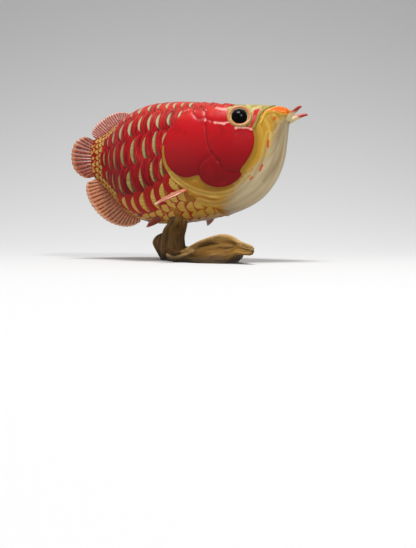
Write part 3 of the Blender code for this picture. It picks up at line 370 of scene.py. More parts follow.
def smooth(points, steps):
    """Catmull-Rom curve through the points."""
    p = np.array(points, float)
    p = np.vstack([2 * p[0] - p[1], p, 2 * p[-1] - p[-2]])
    u = np.linspace(0, 1, steps, endpoint=False)[:, None]
    runs = []
    for a, b, c, d in zip(p, p[1:], p[2:], p[3:]):
        runs.append(b + 0.5 * u * (c - a + u * (2 * a - 5 * b + 4 * c - d + u * (3 * b - 3 * c + d - a))))
    return np.vstack(runs + [p[-2:-1]])


def resample(points, count):
    """The same curve with its points at equal distances."""
    step = np.linalg.norm(np.diff(points, axis=0), axis=1)
    run = np.concatenate([[0], np.cumsum(step)])
    at = np.linspace(0, run[-1], count)
    return np.stack([np.interp(at, run, points[:, k]) for k in range(points.shape[1])], 1)


def make_skin_table():
    """Points of the straight body: rows along it, columns from back to belly."""
    breadth = smooth(BREADTHS, 16)
    angle = np.linspace(0, math.pi, 361)
    level = np.cos(angle)
    table = []
    for tx, tz, bx, bz, above, below in smooth(SECTIONS, 32):
        power = np.where(level >= 0, above, below)
        along = np.sign(level) * np.abs(level) ** (2 / power)
        x = (tx + bx) / 2 + (tx - bx) / 2 * along
        z = (tz + bz) / 2 + (tz - bz) / 2 * along
        wide = np.interp(x, breadth[:, 0], np.maximum(breadth[:, 1], 0))
        y = wide * np.sin(angle) ** (2 / power)
        table.append(resample(np.stack([x, y, z], 1), 201))
    return np.array(table)


SKIN = make_skin_table()
HALF_GIRTHS = np.linalg.norm(np.diff(SKIN, axis=1), axis=-1).sum(1)
# Steps along and around the skin that its normal is taken over
STEP_ALONG = 0.004
STEP_AROUND = 0.01


def skin(t, v):
    """Point of the straight skin at t along the body and signed girth part v."""
    t = np.clip(np.asarray(t, float), 0, 1) * (SKIN.shape[0] - 1)
    c = np.clip(np.abs(np.asarray(v, float)), 0, 1) * (SKIN.shape[1] - 1)
    i = np.minimum(t.astype(int), SKIN.shape[0] - 2)
    j = np.minimum(c.astype(int), SKIN.shape[1] - 2)
    f = (t - i)[..., None]
    g = (c - j)[..., None]
    p = (SKIN[i, j] * (1 - f) * (1 - g) + SKIN[i + 1, j] * f * (1 - g)
         + SKIN[i, j + 1] * (1 - f) * g + SKIN[i + 1, j + 1] * f * g)
    p[..., 1] *= np.sign(v) + (np.asarray(v) == 0)
    return p


def skin_normal(t, v):
    """Outward unit normal of the straight skin."""
    t = np.clip(np.asarray(t, float), STEP_ALONG, 1 - STEP_ALONG)
    v = np.asarray(v, float)
    along = skin(t - STEP_ALONG, v) - skin(t + STEP_ALONG, v)
    around = skin(t, np.minimum(v + STEP_AROUND, 1)) - skin(t, np.maximum(v - STEP_AROUND, -1))
    n = np.cross(along, around)
    return n / np.maximum(np.linalg.norm(n, axis=-1, keepdims=True), 1e-9)


def half_girth(t):
    """Length over the skin from back to belly, at t along the body."""
    return np.interp(t, np.linspace(0, 1, len(HALF_GIRTHS)), HALF_GIRTHS)


def t_at(x, v):
    """Place along the body where the skin at girth part v has this x."""
    x, v = np.broadcast_arrays(np.asarray(x, float), np.asarray(v, float))
    c = np.minimum(np.abs(v), 1) * (SKIN.shape[1] - 1)
    j = np.minimum(c.astype(int), SKIN.shape[1] - 2)
    column = SKIN[:, j, 0] * (1 - c + j) + SKIN[:, j + 1, 0] * (c - j)
    i = np.clip((column > x).sum(0) - 1, 0, len(SKIN) - 2)
    ahead = np.take_along_axis(column, i[None], 0)[0]
    behind = np.take_along_axis(column, i[None] + 1, 0)[0]
    part = np.clip((ahead - x) / np.maximum(ahead - behind, 1e-9), 0, 1)
    return (i + part) / (len(SKIN) - 1)


def v_at_height(x, z):
    """Girth part of the skin's side at this x and height."""
    tries = np.linspace(0.02, 0.98, 193)
    heights = [skin(t_at(x, v), v)[2] for v in tries]
    return float(np.interp(-z, -np.array(heights), tries))


def side_point(x, z, side):
    """Point on the skin's side seen at (x, z), and its normal."""
    v = v_at_height(x, z) * side
    t = t_at(x, v)
    return skin(t, v), skin_normal(t, v)


def bend(points):
    """The straight fish with its tail bent to the right."""
    p = np.array(points, float)
    run = np.linspace(0, 60, 601)
    angles = BEND_ANGLE * (np.minimum(run, BEND_LENGTH) / BEND_LENGTH) ** 1.5
    step = run[1]
    back = np.concatenate([[0], np.cumsum(np.cos(angles[:-1]) * step)])
    right = np.concatenate([[0], np.cumsum(np.sin(angles[:-1]) * step)])
    s = np.maximum(BEND_START - p[..., 0], 0)
    angle = np.interp(s, run, angles)
    x = np.where(s > 0, BEND_START - np.interp(s, run, back), p[..., 0])
    side = -np.interp(s, run, right)
    return np.stack([x - p[..., 1] * np.sin(angle), side + p[..., 1] * np.cos(angle), p[..., 2]], -1)


FISH_TURN = np.array(Euler((math.radians(FISH_ROLL), -math.radians(FISH_PITCH), 0)).to_matrix())


def eye_centre(side):
    """Centre of the eye's dome and the direction it looks in, in the fish's frame."""
    p, n = side_point(*EYE_AT, side)
    return p - n * EYE_SUNK, n


def fish_place():
    """Where the fish's own origin stands in the frame, from the solid of one eye."""
    low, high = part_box("eye_left")
    middle = np.array((low + high) / 2) / MM
    return middle - FISH_TURN @ eye_centre(1)[0]


FISH_PLACE = fish_place()
# The stand's frame lies under the fish's origin, on the floor
STAND_PLACE = FISH_PLACE * (1, 1, 0)


def posed(points):
    """Points of the straight fish, bent, tilted onto the stand and in metres."""
    return (bend(points) @ FISH_TURN.T + FISH_PLACE) * MM


# Distances over the side view, for paint and relief

def line_distance(x, z, line):
    """Distance to an open line."""
    best = np.full(np.shape(x), 1e9)
    for (ax, az), (bx, bz) in zip(line, line[1:]):
        ex, ez = bx - ax, bz - az
        f = np.clip(((x - ax) * ex + (z - az) * ez) / max(ex * ex + ez * ez, 1e-9), 0, 1)
        best = np.minimum(best, np.hypot(x - ax - f * ex, z - az - f * ez))
    return best


def outline_distance(x, z, outline):
    """Distance to a closed outline, negative inside."""
    ring = np.vstack([outline, outline[:1]])
    crossings = np.zeros(np.shape(x), int)
    for (ax, az), (bx, bz) in zip(ring, ring[1:]):
        if bz != az:
            crossings += ((az > z) != (bz > z)) & (x < ax + (z - az) / (bz - az) * (bx - ax))
    best = line_distance(x, z, ring)
    return np.where(crossings % 2 == 1, -best, best)


def dash_distance(x, z, dashes):
    """Distance to the nearest painted dash, negative inside."""
    return np.min([line_distance(x, z, (a, b)) - half for a, b, half in dashes], axis=0)


def step_up(d, width):
    """0 outside an edge and 1 inside it, over this width."""
    f = np.clip(0.5 - d / width, 0, 1)
    return f * f * (3 - 2 * f)


def bulge(d, radius):
    """Rounded rise inside an outline, 0 at its edge and 1 at this depth."""
    f = np.clip(1 + d / radius, 0, 1)
    return np.where(d < 0, np.sqrt(np.maximum(1 - f * f, 0)), 0)


def closed(outline):
    """Smooth closed outline through the points."""
    return smooth(tuple(outline) + tuple(outline[:1]), 4)[:-1]


def before_gills():
    """Closed outline of all that lies ahead of the gill opening."""
    line = smooth(GILL_LINE, 3)
    return np.vstack([line, line[[-1, 0]] + (GILL_REACH, 0)])


# Outlines over the side view, by the names that the paint knows them by
OUTLINES = {
    'cover': closed(PLATE_OUTLINE), 'gill': before_gills(), 'lip': closed(LIP_OUTLINE),
    'strip': closed(STRIP_OUTLINE), 'patch': closed(PATCH_OUTLINE), 'nape': NAPE_OUTLINE,
    'cream': np.vstack([smooth(CREAM_CURVE, 4), CREAM_CORNERS]),
}


# Making pieces

def deselect():
    """Leaves nothing selected for the next operator."""
    bpy.ops.object.select_all(action='DESELECT')


def read_points(obj):
    """The piece's points as rows of x, y and z."""
    flat = np.empty(len(obj.data.vertices) * 3, np.float32)
    obj.data.vertices.foreach_get('co', flat)
    return flat.reshape(-1, 3)


def add_grid(name, columns, rows):
    """A flat grid, two wide and two long, as the start of a piece."""
    deselect()
    bpy.ops.mesh.primitive_grid_add(x_subdivisions=columns, y_subdivisions=rows, size=2)
    obj = bpy.context.object
    obj.name = name
    across, along = read_points(obj)[:, :2].T.round(6)
    return obj, across, along


def move_points(obj, points):
    """Sets the piece's points, in metres."""
    obj.data.vertices.foreach_set('co', np.asarray(points, np.float32).ravel())
    obj.data.update()


def mark(obj, **fields):
    """Keeps fields of distances on the points, for the paint to follow."""
    for name, values in fields.items():
        kept = obj.data.attributes.new(name, 'FLOAT', 'POINT')
        kept.data.foreach_set('value', np.asarray(values, np.float32))


def weld(obj):
    """Closes the seams and poles, and turns the faces outwards."""
    deselect()
    obj.select_set(True)
    bpy.context.view_layer.objects.active = obj
    bpy.ops.object.mode_set(mode='EDIT')
    bpy.ops.mesh.select_all(action='SELECT')
    bpy.ops.mesh.remove_doubles(threshold=1e-6)
    bpy.ops.mesh.normals_make_consistent(inside=False)
    bpy.ops.object.mode_set(mode='OBJECT')
    obj.data.shade_smooth()


def set_on_fish(obj, points, **fields):
    """Gives a piece its points on the posed fish and its fields, and closes it."""
    move_points(obj, posed(points))
    mark(obj, **fields)
    weld(obj)
    return obj


def settle(obj, material, slot, *nodes):
    """Gives a finished piece its paint and its body, and hides the solids of the nodes it stands for; the
    slot is not used.
    """
    obj.data.materials.clear()
    obj.data.materials.append(material)
    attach(obj, "root")
    if nodes:
        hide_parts(*nodes)


# Head, body and tail

def head_relief(fields, grooves, folds, ridges):
    """Height of the plates, lip, strip and gill edge over the plain skin."""
    cover, gill = fields['cover'], fields['gill']
    inside = step_up(cover, PLATE_EDGE)
    rise = PLATE_RISE * inside
    for d in grooves:
        rise -= GROOVE_DEPTH * inside * np.exp(-(d / GROOVE_WIDTH) ** 2)
    for d in folds:
        rise -= FOLD_DEPTH * np.exp(-(d / FOLD_WIDTH) ** 2) * (1 - inside)
    rise += RIDGE_RISE * np.exp(-np.maximum(ridges, 0) ** 2 / RIDGE_SPREAD)
    for name, (high, run) in (('lip', LIP_RISE), ('strip', STRIP_RISE)):
        rise += high * bulge(fields[name], run)
    high, run = GILL_RISE
    edge = np.where(gill < 0, np.exp(gill / run), 0) * step_up(gill, 0.3)
    return rise + high * edge * (cover > -0.5)


def inside_lids(points):
    """True for points of the skin that the lids ring in."""
    inside = False
    for centre, look in (eye_centre(1), eye_centre(-1)):
        away = points - centre
        run = np.linalg.norm(np.cross(away, look), axis=-1)
        inside |= (run < LID_RADIUS) & (np.linalg.norm(away, axis=-1) < EYE_REACH)
    return inside


def round_ends(p, t, over):
    """Rounds off the two ends of the skin with the rows that lie past them."""
    for end, reach in ((0, 0.4), (1, -END_ROUND)):
        rim = (t == end) & (over > 0)
        middle = skin(float(end), np.linspace(0, 1, 41)).mean(0) * (1, 0, 1)
        f = np.clip(over[rim], 0, 1)[:, None]
        inwards = np.sqrt(np.maximum(1 - f * f, 0))
        p[rim] = middle + (p[rim] - middle) * inwards + np.array((reach, 0, 0)) * f


def make_skin():
    """Head, body and tail in one skin, with all that the head's paint follows."""
    rows, ends = 460, 10
    obj, v, along = add_grid('skin', 200, rows)
    row = np.rint((along + 1) / 2 * rows)
    t = np.clip((row - ends) / (rows - 2 * ends), 0, 1)
    p = skin(t, v)
    x, z = p[:, 0], p[:, 2]
    fields = {name: outline_distance(x, z, outline) for name, outline in OUTLINES.items()}
    grooves = [line_distance(x, z, smooth(line, 4)) for line in PLATE_GROOVES]
    folds = [line_distance(x, z, smooth(line, 4)) for line in FOLDS]
    rise = head_relief(fields, grooves, folds, dash_distance(x, z, GLARES[1:]))
    p = p + skin_normal(t, v) * np.where(inside_lids(p), 0, rise)[:, None]
    round_ends(p, t, np.maximum(ends - row, row - (rows - ends)) / ends)
    from_back = np.abs(v) * half_girth(t)
    even = np.abs(v) * BELLY_GIRTH
    return set_on_fish(
        obj, p, **fields, groove=np.min(grooves, axis=0), fold=np.min(folds, axis=0),
        dashes=dash_distance(x, z, DASHES), glare=dash_distance(x, z, GLARES),
        crown=outline_distance(x, from_back, CROWN_OUTLINE),
        crown_dashes=dash_distance(x, from_back, CROWN_DASHES),
        belly=outline_distance(x, even, BELLY_OUTLINE), chin_across=even, chin_along=t * BODY_LONG,
        side_x=x, side_z=z,
    )


# Scales

def row_centre(row, x):
    """Girth part of a row's centre line at this x."""
    line = np.array(row[0][::-1])
    return float(np.interp(x, line[:, 0], line[:, 1]))


def row_limits(n, x):
    """Upper and lower girth part of a row at this x, half way to its neighbours."""
    centres = [row_centre(row, x) for row in SCALE_ROWS]
    upper = (centres[n - 1] + centres[n]) / 2 if n else -centres[1] / 2
    if n + 1 < len(centres):
        return upper, (centres[n] + centres[n + 1]) / 2
    return upper, 2 * centres[n] - upper


def by_a_fin(x, v):
    """True in the bands of small scales at the roots of the three median fins."""
    start, edge, widens = DORSAL_BAND
    by_dorsal = x < start and abs(v) < edge + (start - x) * widens
    start, edge, widens = ANAL_BAND
    by_anal = x < start and abs(v) > edge - (start - x) * widens
    return by_dorsal or by_anal or x < TAIL_BAND


def hidden(x, v, reach):
    """True where a scale lies wholly under the gill cover, or at the pectoral fin."""
    z = float(skin(t_at(x, v), v)[2])
    covered = outline_distance(np.array(x - reach), np.array(z), OUTLINES['gill']) < 0
    return bool(covered) or math.dist((x, z), PECTORAL_SPOT) < PECTORAL_CLEAR


def large_scales(draw):
    """Rear edge, length, middle, half width, rim, ends and gold of every large scale."""
    scales = []
    rows = [(n, side) for n in range(len(SCALE_ROWS)) for side in ((-1, 1) if n else (0,))]
    for n, side in rows:
        _, edges, rim, ends, gold = SCALE_ROWS[n]
        for ahead, x in zip((2 * edges[0] - edges[1],) + edges, edges):
            upper, lower = row_limits(n, x)
            middle, half = side * (upper + lower) / 2, (lower - upper) / 2
            if by_a_fin(x + 2, middle) or (x > COVER_REAR and hidden(x, middle, 1)):
                continue
            rim_here = rim + draw.uniform(-0.07, 0.07)
            ends_here = ends + draw.uniform(-0.08, 0.08)
            middle += draw.uniform(-0.008, 0.008)
            rear = x + draw.uniform(-0.3, 0.3)
            scales.append((rear, ahead - x, middle, half, rim_here, ends_here, gold))
    return scales


def nape_scales(draw):
    """All-red scales between the top of the head and the gill cover."""
    scales = []
    for x, z, half in NAPE_SCALES:
        v = v_at_height(x, z)
        half = half / half_girth(t_at(x, v))
        for side in (-1, 1):
            scales.append((x + draw.uniform(-0.3, 0.3), NAPE_PITCH, side * v, half, ALL_RED, 1, 0))
    return scales


def belly_scales(draw):
    """Small scales between the lowest large row and the mid line of the belly."""
    scales = []
    for number in range(BELLY_ROWS):
        x = BELLY_START - number % 2 * BELLY_PITCH / 2
        while x > BELLY_END:
            upper, lower = row_limits(len(SCALE_ROWS) - 1, x)
            ahead = x >= LOWEST_START
            top = upper + 0.03 if ahead else lower
            rows = BELLY_ROWS + 2 * ahead
            high = (1 - top) / rows
            places = [(top + (step + 0.5) * high, side)
                      for step in range(number, rows, BELLY_ROWS) for side in (-1, 1)]
            for middle, side in places:
                if by_a_fin(x, middle) or hidden(x, middle, 0.5):
                    continue
                v = side * (middle + draw.uniform(-0.15, 0.15) * high)
                rear = x + draw.uniform(-0.5, 0.5)
                rim = (0.16 if x < RED_NET_END else -0.02) + draw.uniform(-0.03, 0.03)
                scales.append((rear, BELLY_PITCH, v, high / 2, rim, 1.4, 1))
            x -= BELLY_PITCH
    return scales


def speck_scales(draw):
    """Round specks in the bands where the median fins grow."""
    scales = []
    for column, x in enumerate(np.arange(SPECK_END, -25, SPECK_PITCH * 0.82)):
        count = max(int(half_girth(t_at(x, 0.5)) / SPECK_PITCH), 2)
        for k in range(count + 1):
            v = (k + 0.5 * (column % 2)) / count
            if not (0.015 < v < 0.99 and by_a_fin(x + 0.6, v)):
                continue
            for side in (-1, 1):
                rear = x + draw.uniform(-0.2, 0.2)
                rim, ends = draw.uniform(0.12, 0.32), draw.uniform(0.8, 1.1)
                scales.append((rear, SPECK_PITCH, side * v, 0.52 / count, rim, ends, 0.7))
    return scales


def scale_plate(columns, rows):
    """One scale's plate, walled down all round and closed below.

    Gives across, depth from the rear edge and how far down each point is, and the faces.
    """
    across = np.sin(np.linspace(-math.pi / 2, math.pi / 2, columns + 1))
    across, depth = [f.ravel() for f in np.meshgrid(across, np.linspace(0, 1, rows + 1) ** 1.7)]
    number = np.arange(len(across)).reshape(rows + 1, columns + 1)
    corners = (number[:-1, :-1], number[:-1, 1:], number[1:, 1:], number[1:, :-1])
    faces = np.stack(corners, -1).reshape(-1, 4).tolist()
    rim = np.concatenate([number[0], number[1:, -1], number[-1, -2::-1], number[-2:0:-1, 0]])
    below = len(across) + np.arange(len(rim))
    faces += np.stack([np.roll(rim, -1), rim, below, np.roll(below, -1)], -1).tolist()
    faces.append(below[::-1].tolist())
    down = np.repeat([0, 1], [len(across), len(rim)])
    return np.append(across, across[rim]), np.append(depth, depth[rim]), down, faces


def lay_scales(name, scales, cut, rise, tucked):
    """Joined mesh of overlapping plates laid over the bent skin."""
    across, depth, down, faces = scale_plate(*cut)
    draw = np.random.default_rng(11)
    count = len(across)
    curve = 1 - np.sqrt(np.maximum(1 - np.abs(across) ** 2.3, 0))
    wide = SCALE_OVER * across * (1 if tucked else 1 - NAPE_TAPER * depth ** 2)
    covered = SCALE_REACH if tucked else NAPE_COVERED
    points, fields, patches = [], [], []
    for x, pitch, middle, half, rim, ends, gold in scales:
        d = depth * SCALE_REACH * pitch
        along = x + SCALE_SAG * pitch * curve + d * (1 - 0.3 * np.abs(across) ** 3)
        v = np.clip(middle + half * wide, -1, 1)
        t = t_at(along, v)
        base = skin(t, v)
        # The rear edge is rounded over, and the plate slopes down ahead of it and beside it
        rounding = np.sqrt(np.maximum(1 - (1 - np.minimum(d / SCALE_ROUND, 1)) ** 2, 0))
        lift = rise * (0.4 + 0.6 * rounding) * (1 - 0.9 * depth) * (1 - np.abs(across) ** 7)
        under_gill = np.clip(-outline_distance(base[:, 0], base[:, 2], OUTLINES['gill']), 0, 1)
        lift -= min(SCALE_SUNK, rise / 4) + under_gill * tucked * rise * 1.3 + down * SCALE_THICK
        points.append(base + skin_normal(t, v) * lift[:, None])
        inner = depth * SCALE_REACH - rim - (1 - rim) * (np.abs(across) / ends) ** 2.6
        chance = np.full(count, draw.random())
        fields.append((depth * covered, across, chance, inner, np.full(count, gold), down))
        patches.append((0.5 + 0.5 * middle + 0.45 * half * across,
                        (x - MAP_REAR + 0.9 * pitch * (depth - 0.5)) / MAP_RUN))
    mesh = bpy.data.meshes.new(name)
    all_faces = [[k * count + i for i in face] for k in range(len(scales)) for face in faces]
    mesh.from_pydata(posed(np.vstack(points)).tolist(), [], all_faces)
    obj = bpy.data.objects.new(name, mesh)
    bpy.context.scene.collection.objects.link(obj)
    names = ('depth', 'across', 'chance', 'inner', 'gold', 'wall')
    mark(obj, **dict(zip(names, np.hstack(fields))))
    corner = np.empty(len(mesh.loops), int)
    mesh.loops.foreach_get('vertex_index', corner)
    kept = mesh.uv_layers.new(name='OFBake')
    kept.data.foreach_set('uv', np.hstack(patches).T[corner].astype(np.float32).ravel())
    mesh.shade_smooth()
    return obj


# Fins

def mid_line(x, sign, lift):
    """Point of the back's or belly's mid line at this x, lifted off it."""
    v = 0.0 if sign > 0 else 1.0
    t = t_at(x, v)
    n = skin_normal(t, v)
    n = np.array((n[0], 0, n[2]))
    return (skin(t, v) + n / np.linalg.norm(n) * lift)[[0, 2]]


def make_fin(name, base, outline, rays):
    """Ribbed fin folded over its outer edge, from the points of its root and its outline."""
    obj, over, run = add_grid(name, 40, rays * 12)
    place = (run + 1) / 2
    at = np.linspace(0, 1, len(base))
    lines = base, resample(smooth(outline, 8), len(base))
    root, rim = [np.stack([np.interp(place, at, line[:, k]) for k in (0, 1)], 1) for line in lines]
    f = 1 - np.abs(over)
    # The rays sway a little, and the fin thins to its outer edge and to both ends
    ridge = rays * place + 0.12 * np.sin(7 * math.pi * place + 2 * f)
    ridge = np.abs(np.sin(math.pi * ridge)) ** 1.2
    half = FIN_ROOT_HALF * (1 - f) + FIN_EDGE_HALF * f + RAY_RISE * (ridge - 0.2) * (1 - 0.5 * f)
    half *= np.sqrt(np.maximum(1 - np.clip((f - 0.94) / 0.06, 0, 1) ** 2, 0))
    half *= np.sqrt(np.clip(np.minimum(place, 1 - place) * rays * 2, 0, 1))
    half *= np.abs(over) < 1
    out = (f * (1 - 0.035 * (1 - ridge) * f ** 4))[:, None]
    flat = root * (1 - out) + rim * out
    points = np.stack([flat[:, 0], half * np.sign(over), flat[:, 1]], 1)
    return set_on_fish(obj, points, ridge=ridge, reach=f)


def make_median_fin(name, sign, ends, outline, rays):
    """Fin that grows from the mid line of the back or belly."""
    xs = np.linspace(*ends, 2 * rays + 1)
    base = np.array([mid_line(x, sign, -FIN_SUNK) for x in xs])
    return make_fin(name, base, outline, rays)


def make_caudal_fin():
    """Fin that grows from the end of the tail."""
    z = np.linspace(*CAUDAL_BASE, 2 * CAUDAL_RAYS + 1)
    base = np.stack([np.full(len(z), CAUDAL_ROOT_X), z], 1)
    return make_fin('fin_caudal', base, CAUDAL_EDGE, CAUDAL_RAYS)


def make_leaf(name, root, tip, across, size):
    """Leaf-shaped fin with fine rays along it, rounded and arched."""
    wide_at, thick, arch = size
    along = np.array(tip) - root
    unit = along / np.linalg.norm(along)
    across = across - unit * np.dot(across, unit)
    across /= np.linalg.norm(across)
    normal = np.cross(unit, across)
    obj, around, run = add_grid(name, 96, 48)
    f = (run + 1) / 2
    angle = around * math.pi
    ridge = 0.5 + 0.5 * np.cos(7 * math.pi * np.cos(angle))
    wide = wide_at / 2 * (0.55 + 1.9 * f - 1.6 * f * f) * np.maximum(1 - f ** 3, 0) ** 0.75
    deep = thick / 2 * (1 - 0.55 * f) * np.sqrt(np.maximum(1 - f ** 12, 0)) * (0.85 + 0.2 * ridge)
    side = wide * np.cos(angle) * (f > 0)
    rise = arch * np.sin(math.pi * f) + deep * np.sin(angle) * (f > 0)
    points = root + np.stack([f, side, rise], 1) @ np.array([along, across, normal])
    return set_on_fish(obj, points, ridge=ridge, reach=f)


def side_and_up(line):
    """Unit vectors that lie level across a line, and that stand square on it."""
    ahead = np.gradient(line, axis=0)
    ahead /= np.linalg.norm(ahead, axis=1, keepdims=True)
    side = np.cross(ahead, (0, 0, 1))
    side /= np.linalg.norm(side, axis=1, keepdims=True)
    return side, np.cross(side, ahead)


def make_barbel(name, side):
    """Round barbel that tapers along its line, rounded at its tip."""
    rows = smooth(BARBELS[side], 12)
    across, up = side_and_up(rows[:, :3])
    count = len(rows) - 1
    obj, turn, run = add_grid(name, 24, count)
    i = np.rint((run + 1) / 2 * count).astype(int)
    radius = rows[i, 3] * np.sqrt(np.clip((count - i) / 4, 0, 1)) * (i > 0)
    top = np.sin(turn * math.pi)
    points = rows[i, :3] + across[i] * (radius * np.cos(turn * math.pi))[:, None]
    points += up[i] * (radius * top)[:, None]
    return set_on_fish(obj, points, flush=i / count + 0.15 * top, top=top)


# Eyes

def set_at_eye(obj, name, side, lift, size):
    """Names a new primitive, and sets it along the look of an eye."""
    centre, look = eye_centre(side)
    place = Matrix.Translation(Vector(posed((centre + look * lift)[None])[0]))
    turn = Vector(FISH_TURN @ look).to_track_quat('Z', 'Y').to_matrix().to_4x4()
    obj.name = name
    obj.data.transform(place @ turn @ Matrix.Diagonal((*size, 1)))
    obj.data.shade_smooth()
    return obj


def make_eye(name, side):
    """Flattened dome of the eye."""
    deselect()
    bpy.ops.mesh.primitive_uv_sphere_add(segments=64, ring_count=32, radius=MM)
    return set_at_eye(bpy.context.object, name, side, 0, (EYE_RADIUS, EYE_RADIUS, EYE_DEPTH))


def make_lid(name, side):
    """Ring around the eye, for the iris and the lid."""
    deselect()
    bpy.ops.mesh.primitive_torus_add(major_radius=LID_RADIUS * MM, minor_radius=LID_WIRE * MM,
                                     major_segments=72, minor_segments=18)
    lid = bpy.context.object
    flat = read_points(lid)
    mark(lid, ring=np.hypot(flat[:, 0], flat[:, 1]) / MM)
    return set_at_eye(lid, name, side, EYE_SUNK, (1, 1, 1))


# Stand

def loft_piece(name, rings):
    """Closed skin through rings of points."""
    rings = np.array(rings)
    count, around = rings.shape[:2]
    obj, turn, run = add_grid(name, around, count + 1)
    i = np.rint((run + 1) / 2 * (count + 1)).astype(int)
    j = np.rint((turn + 1) / 2 * around).astype(int) % around
    points = rings[np.clip(i - 1, 0, count - 1), j]
    for end, at in ((i == 0, 0), (i == count + 1, count - 1)):
        points[end] = rings[at].mean(0)
    move_points(obj, (points + STAND_PLACE) * MM)
    weld(obj)
    return obj


def branch_rings():
    """Rings of the branch, from the post to its tip."""
    rings = []
    for row in smooth(np.reshape(BRANCH, (len(BRANCH), 12)), 10):
        crest, near, far, edge = row.reshape(4, 3)
        tall = min(crest[2] - near[2], BRANCH_TALL) / BRANCH_TALL
        face = [crest * (1 - f) + near * f + (0, push * tall, 0) for f, push in BRANCH_FACE]
        top = (crest + edge) / 2 - (0, 0, 0.5 * tall)
        corners = [crest, *face, near, (near + far) / 2, far, edge, top]
        rings.append(smooth(corners[-1:] + corners + corners[:2], 10)[10:-11])
    return rings


def column_rings(stations, flutes, depth, square):
    """Rings of an upright column with a fluted and more or less square section."""
    flat = [(*c, a, b) for c, a, b in stations]
    side = np.array((math.cos(STAND_TURN), math.sin(STAND_TURN), 0))
    front = np.array((-math.sin(STAND_TURN), math.cos(STAND_TURN), 0))
    angle = np.linspace(0, 2 * math.pi, 72, endpoint=False)
    rings = []
    for row in smooth(flat, 10):
        grow = 1 + depth * np.sin(flutes * angle + row[2] * 0.12)
        a = row[3] * grow * np.sign(np.cos(angle)) * np.abs(np.cos(angle)) ** square
        b = row[4] * grow * np.sign(np.sin(angle)) * np.abs(np.sin(angle)) ** square
        rings.append(row[:3] + a[:, None] * side + b[:, None] * front)
    return rings


def curl_rings():
    """Rings of the lip that curls up beside the branch."""
    rows = smooth(CURL, 10)
    angle = np.linspace(0, 2 * math.pi, 48, endpoint=False)[:, None]
    return [row[:3] + row[3] * (np.cos(angle) * side + np.sin(angle) * up)
            for row, side, up in zip(rows, *side_and_up(rows[:, :3]))]


def grain_places(rings):
    """Points of one part of the stand, with their runs along it and around it."""
    rings = np.array(rings)
    steps = np.linalg.norm(np.diff(rings.mean(1), axis=0), axis=1)
    along = np.concatenate([[0], np.cumsum(steps)])
    around = np.cumsum(np.linalg.norm(np.diff(rings, axis=1, append=rings[:, :1]), axis=2).mean(0))
    runs = np.stack(np.meshgrid(along, around, indexing='ij'), -1)
    return np.concatenate([rings, runs], -1).reshape(-1, 5)


def grow_together(parts):
    """One skin round the overlapping parts of the stand."""
    deselect()
    for obj in parts:
        obj.select_set(True)
    stand = parts[0]
    bpy.context.view_layer.objects.active = stand
    bpy.ops.object.join()
    stand.name = 'driftwood'
    stand.data.remesh_voxel_size = STAND_VOXEL * MM
    bpy.ops.object.voxel_remesh()
    relax = stand.modifiers.new('relax', 'SMOOTH')
    relax.iterations = 4
    bpy.ops.object.modifier_apply(modifier='relax')
    stand.data.shade_smooth()
    return stand


def grain_height(co, along, around):
    """Height of the grain's waves and of the swirled knot over the plain wood."""
    sway = 0.9 * np.sin(along * 0.22) + 0.5 * np.sin(along * 0.6 + around * 0.3)
    broad = np.sin(around * 1.9 + sway)
    fine = np.abs(np.sin(around * 2.6 + sway * 0.7 + along * 0.05))
    run = np.linalg.norm(co - KNOT_AT, axis=1)
    knot = np.cos(run * math.pi / KNOT_WAVE) * np.exp(-(run / KNOT_RADIUS) ** 2)
    return 0.15 * broad + 0.1 * fine + KNOT_RISE * knot


def trim_post(world, fish):
    """Lowers the top of the post to just under the fish."""
    under = BVHTree.FromObject(fish, bpy.context.evaluated_depsgraph_get())
    for k in np.nonzero(world[:, 2] > POST_TRIM * MM)[0]:
        hit = under.ray_cast(Vector((world[k, 0], world[k, 1], -0.01)), Vector((0, 0, 1)))[0]
        if hit is not None:
            world[k, 2] = min(world[k, 2], hit.z - POST_GAP * MM)


def make_stand(fish):
    """Driftwood: branch, curled lip, post and heel grown into one, with grain cut along them."""
    shapes = {
        'branch': branch_rings(), 'post': column_rings(POST, *POST_FORM),
        'heel': column_rings(HEEL, *HEEL_FORM), 'curl': curl_rings(),
    }
    grain = np.vstack([grain_places(rings) for rings in shapes.values()])
    stand = grow_together([loft_piece(name, rings) for name, rings in shapes.items()])
    co = read_points(stand).astype(float) / MM - STAND_PLACE
    tree = KDTree(len(grain))
    for k, place in enumerate(grain[:, :3]):
        tree.insert(place, k)
    tree.balance()
    along, around = grain[[tree.find(p)[1] for p in co], 3:].T
    normals = np.empty(len(co) * 3, np.float32)
    stand.data.vertex_normals.foreach_get('vector', normals)
    co += normals.reshape(-1, 3) * grain_height(co, along, around)[:, None]
    co[:, 2] = np.maximum(co[:, 2], 0)
    world = (co + STAND_PLACE) * MM
    trim_post(world, fish)
    move_points(stand, world)
    curl = [(x, y - r / 2, z + r * 0.8) for x, y, z, r in CURL]
    crest = np.vstack([smooth(BRANCH_CREST, 6), smooth(curl, 6)])
    crest_run = np.min(np.linalg.norm(co[:, None] - crest[None], axis=2), axis=1)
    # Painted shade, darker on the post and the heel
    shade = np.clip((SHADE_START - co[:, 0]) / SHADE_RUN, 0, 1)
    mark(stand, along=along, around=around, crest=crest_run, shade=shade)
    return stand


# Paint

def hex_colour(code):
    """An sRGB hex colour as linear red, green, blue and alpha."""
    parts = [int(code[k:k + 2], 16) / 255 for k in (1, 3, 5)]
    return (*[c / 12.92 if c <= 0.04045 else ((c + 0.055) / 1.055) ** 2.4 for c in parts], 1.0)


